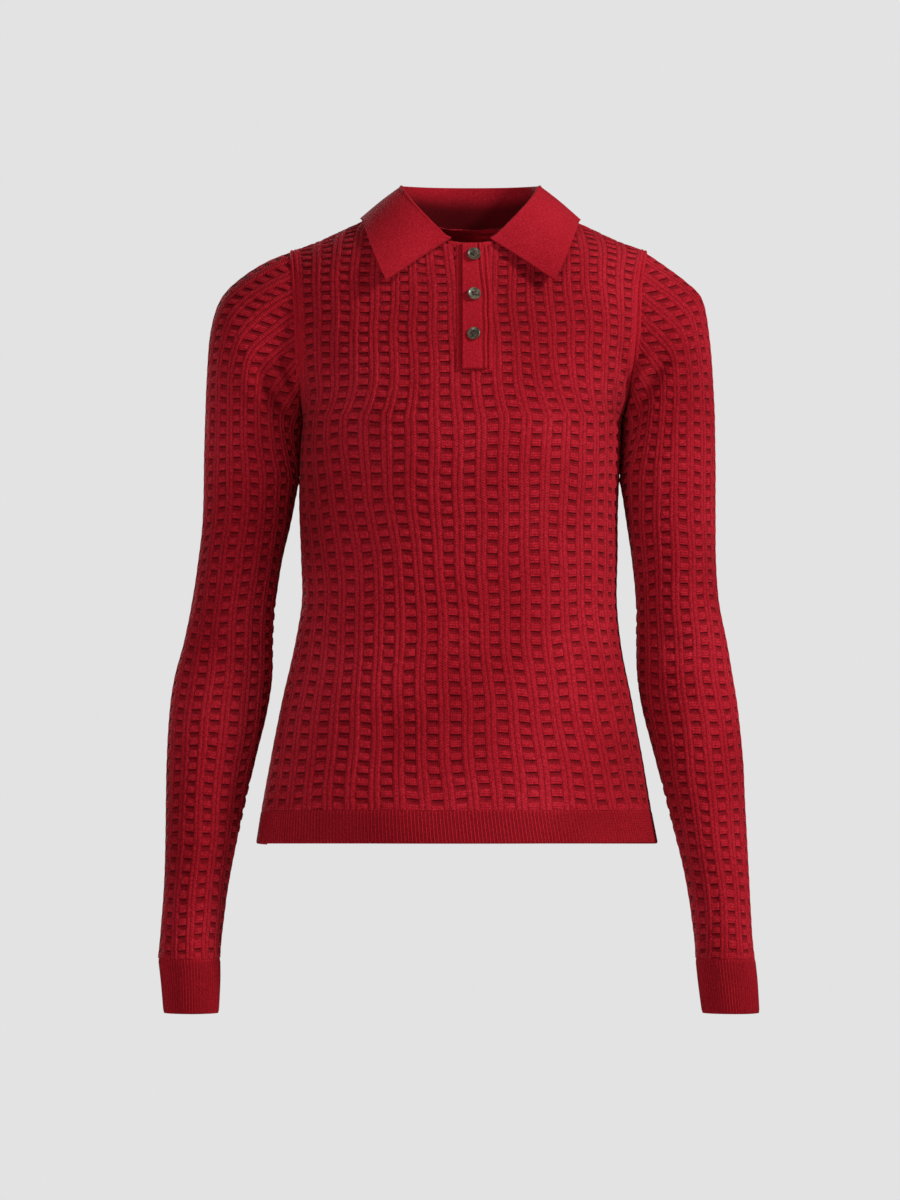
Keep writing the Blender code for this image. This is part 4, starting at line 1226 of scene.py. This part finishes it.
def button(number, z, lean, spin, horn, thread):
    """A dished four-hole button with its thread. lean and spin are its small turns, in degrees."""
    radius = BUTTON_ACROSS / 2
    profile = [
        (radius * reach, BUTTON_THICK * height - BUTTON_DISH * dish)
        for reach, height, dish in BUTTON_PROFILE
    ]
    disc = turned_disc(f"button_{number}_disc", profile, 64, horn)
    off = HOLE_SPACING / math.sqrt(2)
    cut_holes(disc, off)
    disc.data.set_sharp_from_angle(angle=math.radians(35))
    seat(disc, z, lean, spin)
    for k in range(2):
        first = math.radians(45 + 90 * k)
        tube = thread_across(f"button_{number}_thread_{k + 1}", off, first, THREAD_CROSSES * k, thread)
        seat(tube, z, lean, spin)
    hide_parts(f"button_{number}")


def cut_holes(disc, off):
    """Drill the four holes, each off from the middle of the disc."""
    drills = []
    for k in range(4):
        corner = math.radians(45 + 90 * k)
        bpy.ops.mesh.primitive_cylinder_add(
            vertices=20,
            radius=HOLE_ACROSS / 2,
            depth=4 * BUTTON_THICK,
            location=(off * math.cos(corner), off * math.sin(corner), BUTTON_THICK / 2),
        )
        drills.append(bpy.context.active_object)
        cut_hole = disc.modifiers.new(f"hole_{k}", "BOOLEAN")
        cut_hole.object = drills[-1]
        cut_hole.operation = "DIFFERENCE"
        cut_hole.solver = "EXACT"
    bake(disc)
    for drill in drills:
        bpy.data.objects.remove(drill)


def bake(piece):
    """Turn a piece's modifiers into plain mesh."""
    seen = piece.evaluated_get(bpy.context.evaluated_depsgraph_get())
    mesh = bpy.data.meshes.new_from_object(seen)
    piece.modifiers.clear()
    piece.data = mesh


def turned_disc(name, profile, around, horn):
    """A profile of (radius, height) turned round Z, closed flat below and above."""
    points = [(0.0, 0.0, profile[0][1])]
    for reach, height in profile:
        for k in range(around):
            angle = 2 * math.pi * k / around
            points.append((reach * math.cos(angle), reach * math.sin(angle), height))
    points.append((0.0, 0.0, profile[-1][1]))
    last = 1 + (len(profile) - 1) * around
    faces = []
    for k in range(around):
        after = (k + 1) % around
        faces.append((0, 1 + after, 1 + k))
        for low in range(1, last, around):
            high = low + around
            faces.append((low + k, low + after, high + after, high + k))
        faces.append((last + k, last + after, len(points) - 1))
    return make_piece(name, np.array(points), faces, [horn])


def thread_across(name, off, first, lift, thread):
    """A doubled thread between two opposite holes, as a bent tube."""
    reach = np.linspace(-1, 1, 17)
    high = BUTTON_THICK - BUTTON_DISH + THREAD_LIFT + lift
    bent = np.clip(np.abs(reach) - THREAD_BENDS, 0, 1) / (1 - THREAD_BENDS)
    heights = high - THREAD_SINKS * bent
    sides = 8
    turned = np.arange(sides) / sides * 2 * math.pi
    aside = np.array([-math.sin(first), math.cos(first), 0.0])
    points = []
    for share, height in zip(reach, heights):
        middle = np.array([off * share * math.cos(first), off * share * math.sin(first), height])
        for angle in turned:
            up = np.array([0, 0, THREAD_HALF_HIGH * math.sin(angle)])
            points.append(middle + aside * THREAD_HALF_WIDE * math.cos(angle) + up)
    faces = []
    for low in range(0, len(points) - sides, sides):
        high_ring = low + sides
        for side in range(sides):
            after = (side + 1) % sides
            faces.append((low + side, high_ring + side, high_ring + after, low + after))
    faces.append(tuple(range(sides)))
    faces.append(tuple(range(len(points) - 1, len(points) - 1 - sides, -1)))
    return make_piece(name, np.array(points), faces, [thread])


def seat(piece, z, lean, spin):
    """Lay a piece made round the origin on the placket, its face out."""
    across = BUTTON_X - float(trunk("middle", z))
    span = 0.004
    rise = float(body_y(-1, across, z + span)) - float(body_y(-1, across, z - span))
    tilt = math.atan(rise / (2 * span))
    lift = CLEARANCE + BAND_WALL + BUTTON_LIFT
    spun = turn_matrix("Z", math.radians(spin))
    leaned = turn_matrix("Y", math.radians(lean))
    upright = turn_matrix("X", math.pi / 2 - tilt)
    place = np.array([
        BUTTON_X,
        float(body_y(-1, across, z)) - lift * math.cos(tilt),
        z + lift * math.sin(tilt),
    ])
    count = len(piece.data.vertices)
    points = np.empty(3 * count)
    piece.data.vertices.foreach_get("co", points)
    moved = points.reshape(-1, 3) @ (upright @ leaned @ spun).T + place
    piece.data.vertices.foreach_set("co", moved.reshape(-1))
    piece.data.update()


def turn_matrix(axis, angle):
    c, s = math.cos(angle), math.sin(angle)
    if axis == "X":
        return np.array([[1, 0, 0], [0, c, -s], [0, s, c]])
    if axis == "Y":
        return np.array([[c, 0, s], [0, 1, 0], [-s, 0, c]])
    return np.array([[c, -s, 0], [s, c, 0], [0, 0, 1]])


# ---------------------------------------------------------------------------- materials

class Nodes:
    """Short calls for building one material's node tree."""

    def __init__(self, name):
        self.material = bpy.data.materials.new(name)
        self.material.use_nodes = True
        self.tree = self.material.node_tree
        self.shader = self.tree.nodes["Principled BSDF"]

    def node(self, kind, **values):
        made = self.tree.nodes.new(kind)
        for key, value in values.items():
            setattr(made, key, value)
        return made

    def link(self, source, target):
        self.tree.links.new(source, target)

    def math(self, operation, first, second=None, third=None):
        made = self.node("ShaderNodeMath", operation=operation)
        for socket, value in zip(made.inputs, (first, second, third)):
            if value is None:
                continue
            if isinstance(value, (int, float)):
                socket.default_value = value
            else:
                self.link(value, socket)
        return made.outputs[0]

    def noise(self, scale, detail=2.0, stretch=(1.0, 1.0, 1.0)):
        place = self.node("ShaderNodeTexCoord")
        mapped = self.node("ShaderNodeMapping")
        mapped.inputs["Scale"].default_value = stretch
        self.link(place.outputs["Object"], mapped.inputs["Vector"])
        made = self.node("ShaderNodeTexNoise")
        made.inputs["Scale"].default_value = scale
        made.inputs["Detail"].default_value = detail
        self.link(mapped.outputs[0], made.inputs["Vector"])
        return made.outputs["Fac"]

    def knit_axes(self):
        """The knit's own coordinates: across in ribs, up in cells."""
        layer = self.node("ShaderNodeUVMap", uv_map="knit")
        split = self.node("ShaderNodeSeparateXYZ")
        self.link(layer.outputs[0], split.inputs[0])
        return split.outputs[0], split.outputs[1]

    def ramp(self, factor, stops):
        made = self.node("ShaderNodeValToRGB")
        elements = made.color_ramp.elements
        while len(elements) < len(stops):
            elements.new(0.5)
        for element, (position, colour) in zip(elements, stops):
            element.position = position
            element.color = (*colour, 1)
        self.link(factor, made.inputs[0])
        return made.outputs[0]

    def blend(self, share, colour, other):
        made = self.node("ShaderNodeMixRGB")
        self.link(share, made.inputs["Fac"])
        self.link(colour, made.inputs["Color1"])
        made.inputs["Color2"].default_value = (*other, 1)
        return made.outputs["Color"]

    def bump(self, height, distance, strength=1.0, after=None):
        made = self.node("ShaderNodeBump")
        made.inputs["Strength"].default_value = strength
        made.inputs["Distance"].default_value = distance
        self.link(height, made.inputs["Height"])
        if after is not None:
            self.link(after, made.inputs["Normal"])
        return made.outputs[0]

    def finish(self, colour, normal, roughness, sheen=0.0, coat=0.0):
        inputs = self.shader.inputs
        self.link(colour, inputs["Base Color"])
        self.link(normal, inputs["Normal"])
        inputs["Roughness"].default_value = roughness
        inputs["Specular IOR Level"].default_value = 0.05 if sheen else 0.5
        inputs["Sheen Weight"].default_value = sheen
        inputs["Sheen Roughness"].default_value = 0.45
        inputs["Sheen Tint"].default_value = (*SHEEN_TINT, 1)
        inputs["Coat Weight"].default_value = coat
        return self.material


def wave(nodes, phase):
    """A wave from 0 to 1 with one crest for each whole number of phase."""
    turned = nodes.math("MULTIPLY", phase, 2 * math.pi)
    swing = nodes.math("COSINE", turned)
    return nodes.math("MULTIPLY_ADD", swing, 0.5, 0.5)


def red_cloth(nodes, fibre, dark, mid, light):
    """Yarn colour: broad tone, and lighter and darker fibres."""
    broad = nodes.noise(9.0, 2.0)
    mixed = nodes.math("MULTIPLY_ADD", broad, 0.45, nodes.math("MULTIPLY", fibre, 0.55))
    return nodes.ramp(mixed, ((0.30, dark), (0.50, mid), (0.72, light)))


def yarn_bump(nodes, stitches, fibre, bumps):
    of_stitches, of_fibre = bumps
    return nodes.bump(fibre, *of_fibre, nodes.bump(stitches, *of_stitches))


def soft_step(nodes, value, start, end):
    """0 up to start, 1 from end on, smooth between. An end below start turns it round."""
    made = nodes.node("ShaderNodeMapRange", interpolation_type="SMOOTHSTEP")
    nodes.link(value, made.inputs["Value"])
    made.inputs["From Min"].default_value = min(start, end)
    made.inputs["From Max"].default_value = max(start, end)
    made.inputs["To Min"].default_value = 0.0 if start < end else 1.0
    made.inputs["To Max"].default_value = 1.0 if start < end else 0.0
    return made.outputs["Result"]


def between(nodes, value, rises, falls):
    """1 between two soft steps, each given as (start, end)."""
    return nodes.math("MULTIPLY", soft_step(nodes, value, *rises), soft_step(nodes, value, *falls))


def hollow_shade_mask(nodes, nearest, up):
    """Painted shade: 1 in the windows above the pads, less in the grooves of the ribs and beside them."""
    share = nodes.math("FRACT", up)
    above = between(nodes, share, (0.46, 0.60), (1.0, 0.96))
    # painted shadow of the pad above: darker towards the top of each window
    deeper = nodes.math("MULTIPLY_ADD", soft_step(nodes, share, 0.76, 0.92), 0.45, 0.55)
    off_rib = soft_step(nodes, nearest, 0.235, 0.285)
    window = nodes.math("MULTIPLY", nodes.math("MULTIPLY", above, deeper), off_rib)
    groove = nodes.math("MULTIPLY", soft_step(nodes, nearest, 0.06, 0.0), 0.6)
    beside = nodes.math("MULTIPLY", between(nodes, nearest, (0.20, 0.245), (0.30, 0.255)), 0.5)
    return nodes.math("MAXIMUM", window, nodes.math("MAXIMUM", groove, beside))


def waffle_outside():
    """Rows of stitches across the pads and up the two strands of a rib."""
    nodes = Nodes("waffle_knit_outside")
    across, up = nodes.knit_axes()
    nearest = nodes.math("ABSOLUTE", nodes.math("SUBTRACT", across, nodes.math("ROUND", across)))
    off_strand = nodes.math("ABSOLUTE", nodes.math("SUBTRACT", nearest, STRAND_MIDDLE))
    on_rib = nodes.math("LESS_THAN", nearest, STRAND_EDGE)
    slant = nodes.math("MULTIPLY", nodes.math("MULTIPLY", off_strand, on_rib), STRAND_SLANT)
    rows = wave(nodes, nodes.math("MULTIPLY_ADD", up, CELL_STITCHES, slant))
    stitches = wave(nodes, nodes.math("MULTIPLY", across, PAD_STITCHES))
    loops = nodes.math("MULTIPLY_ADD", stitches, 0.35, rows)
    fibre = nodes.noise(WAFFLE_FIBRES, 3.0)
    normal = yarn_bump(nodes, loops, fibre, WAFFLE_BUMPS)
    colour = red_cloth(nodes, fibre, *WAFFLE_REDS)
    # painted shade in the windows, in the ribs' grooves and beside the ribs
    hollow_shade = nodes.math("MULTIPLY", hollow_shade_mask(nodes, nearest, up), HOLLOW_SHADE_SHARE)
    colour = nodes.blend(hollow_shade, colour, HOLLOW_SHADE_RED)
    return nodes.finish(colour, normal, 0.9, 0.02)


def waffle_inside():
    """The inside of the waffle: soft blocks between floated yarns."""
    nodes = Nodes("waffle_knit_inside")
    across, up = nodes.knit_axes()
    blocks = nodes.math("MULTIPLY", wave(nodes, across), wave(nodes, up))
    rows = wave(nodes, nodes.math("MULTIPLY", up, CELL_STITCHES))
    height = nodes.math("MULTIPLY_ADD", rows, 0.2, blocks)
    fibre = nodes.noise(WAFFLE_FIBRES, 3.0)
    normal = yarn_bump(nodes, height, fibre, INNER_BUMPS)
    # painted light: lighter yarn on the inside, where it lies in shade
    colour = red_cloth(nodes, fibre, *INNER_LIGHTENED_REDS)
    return nodes.finish(colour, normal, 0.9, 0.03)


def fine_knit(name, rows_each, stitches_each, groove=0.0, stand=0.0):
    """Fine knit. The knit's coordinates count stitches times the numbers given.

    groove sets the painted shade in the valleys between ribs, and stand is how far up the collar the
    painted shade of its inside reaches.
    """
    nodes = Nodes(name)
    across, up = nodes.knit_axes()
    leaning = nodes.math("PINGPONG", nodes.math("MULTIPLY", across, stitches_each), 0.5)
    rows = wave(nodes, nodes.math("MULTIPLY_ADD", up, rows_each, leaning))
    columns = wave(nodes, nodes.math("MULTIPLY", across, stitches_each))
    loops = nodes.math("MULTIPLY_ADD", columns, 0.6, rows)
    fibre = nodes.noise(FINE_FIBRES, 3.0)
    normal = yarn_bump(nodes, loops, fibre, FINE_BUMPS)
    colour = red_cloth(nodes, fibre, *FINE_REDS)
    if groove:
        # painted shade in the valleys between the fine ribs
        valley_shade = soft_step(nodes, columns, 0.55, 0.0)
        colour = nodes.blend(nodes.math("MULTIPLY", valley_shade, groove), colour, HOLLOW_SHADE_RED)
    if stand:
        # painted shade on the stand's inside, down in the neck
        deep = soft_step(nodes, up, stand, 0.45 * stand)
        colour = nodes.blend(nodes.math("MULTIPLY", deep, STAND_SHADE_SHARE), colour, STAND_SHADE_RED)
    return nodes.finish(colour, normal, 0.88, 0.03)


def horn_button():
    nodes = Nodes("dark_horn_button")
    cloud = nodes.noise(260.0, 4.0, (1.0, 0.6, 2.2))
    dark, mid, light = HORN_BROWNS
    colour = nodes.ramp(cloud, ((0.35, dark), (0.52, mid), (0.72, light)))
    normal = nodes.bump(nodes.noise(900.0, 2.0), 0.00004, 0.5)
    return nodes.finish(colour, normal, 0.42, 0.0, 0.08)


def sewing_thread():
    nodes = Nodes("brown_thread")
    ply = nodes.noise(2600.0, 2.0)
    dark, light = THREAD_BROWNS
    colour = nodes.ramp(ply, ((0.35, dark), (0.65, light)))
    return nodes.finish(colour, nodes.bump(ply, 0.0001, 0.8), 0.7)


def pale_floor():
    nodes = Nodes("pale_floor")
    soft = nodes.noise(1.5, 1.0)
    dark, light = FLOOR_GREYS
    colour = nodes.ramp(soft, ((0.3, dark), (0.7, light)))
    return nodes.finish(colour, nodes.bump(soft, 0.0001, 0.1), 0.9)


# ---------------------------------------------------------------------------- studio

def studio():
    bpy.ops.mesh.primitive_circle_add(vertices=96, radius=6.0, fill_type="NGON", location=(0, 0, FLOOR))
    floor = bpy.context.active_object
    floor.name = "floor"
    floor.data.materials.append(pale_floor())
    for name, place, size, power in LAMPS:
        lamp(name, place, size, power)
    soft_air()
    front_camera()
    bpy.context.scene.view_settings.view_transform = "Standard"


def front_camera():
    camera = bpy.data.objects.new("camera", bpy.data.cameras.new("camera"))
    bpy.context.scene.collection.objects.link(camera)
    camera.location = (VIEW_X, -VIEW_DISTANCE, VIEW_Z)
    camera.rotation_euler = (math.pi / 2, 0, 0)
    camera.data.sensor_fit = "VERTICAL"
    camera.data.sensor_height = SENSOR
    camera.data.lens = SENSOR / 2 * VIEW_DISTANCE / VIEW_HALF
    camera.data.clip_end = 60.0
    bpy.context.scene.camera = camera


def soft_air():
    """Even pale surroundings: bright where they are seen, dimmer as light on the cloth."""
    world = bpy.data.worlds.new("studio")
    bpy.context.scene.world = world
    world.use_nodes = True
    tree = world.node_tree
    seen = tree.nodes.new("ShaderNodeLightPath")
    strength = tree.nodes.new("ShaderNodeMapRange")
    strength.inputs["To Min"].default_value = AIR_LIGHT
    strength.inputs["To Max"].default_value = AIR_SEEN
    tree.links.new(seen.outputs["Is Camera Ray"], strength.inputs["Value"])
    sky = tree.nodes["Background"]
    sky.inputs["Color"].default_value = (1, 1, 1, 1)
    tree.links.new(strength.outputs["Result"], sky.inputs["Strength"])


def lamp(name, place, size, power):
    data = bpy.data.lights.new(name, "AREA")
    data.size = size
    data.energy = power
    light = bpy.data.objects.new(name, data)
    light.location = place
    aim = np.array(LAMPS_AIM) - np.array(place)
    turn = math.atan2(aim[0], -aim[1])
    tip = math.atan2(math.hypot(aim[0], aim[1]), -aim[2])
    light.rotation_euler = (tip, 0, turn + math.pi)
    bpy.context.scene.collection.objects.link(light)


# ---------------------------------------------------------------------------- the sweater

def stands_for(made, node):
    """Hide the solid that a piece of cloth replaces. Its sheet's entry is read but not used."""
    piece, area = made
    slot, flat, held, rests_on = SHEETS[node]
    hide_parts(node)
    width, length = flat
    min(area, width * length)


def sleeve_parts(side, rings, cuff_rings, hand, seed, waffle, fine, rib):
    stands_for(sleeve(f"sleeve_{side}_cloth", rings, hand, seed, waffle), f"sleeve_{side}")
    armhole_rib(f"armhole_rib_{side}", rings, hand, fine)
    stands_for(cuff(f"cuff_{side}_cloth", cuff_rings, hand, rib), f"cuff_{side}")


def main():
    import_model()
    # the ribbed bands' knit, with painted shade in its grooves
    ribbed = fine_knit("fine_rib_knit", 2.2, 1.0, groove=0.6)
    plain = fine_knit("fine_plain_knit", 1.0, 1.0)
    # the collar's knit, with painted shade on its stand inside the neck
    folded = fine_knit("collar_knit", 1.0, 1.0, stand=STAND_UNITS)
    waffle = [waffle_outside(), waffle_inside()]
    rib = [ribbed, ribbed]
    fine = [plain, plain]

    stands_for(panel("front_cloth", -1, 11, waffle), "front_panel")
    stands_for(panel("back_cloth", 1, 23, waffle), "back_panel")
    sleeve_parts("right", SLEEVE_RIGHT, CUFF_RIGHT, -1, 37, waffle, fine, rib)
    sleeve_parts("left", SLEEVE_LEFT, CUFF_LEFT, 1, 41, waffle, fine, rib)
    for name, side in (("front", -1), ("back", 1)):
        stands_for(hem_band(f"hem_{name}_cloth", side, rib), f"hem_rib_{name}")
    stands_for(collar([folded, folded]), "collar")
    neck_edge(fine)
    upper, under = placket(fine)
    stands_for(upper, "placket_top")
    stands_for(under, "placket_under")
    horn = horn_button()
    thread = sewing_thread()
    for number, (z, (lean, spin)) in enumerate(zip(BUTTONS, BUTTON_TURNS), 1):
        button(number, z, lean, spin, horn, thread)
    studio()


main()
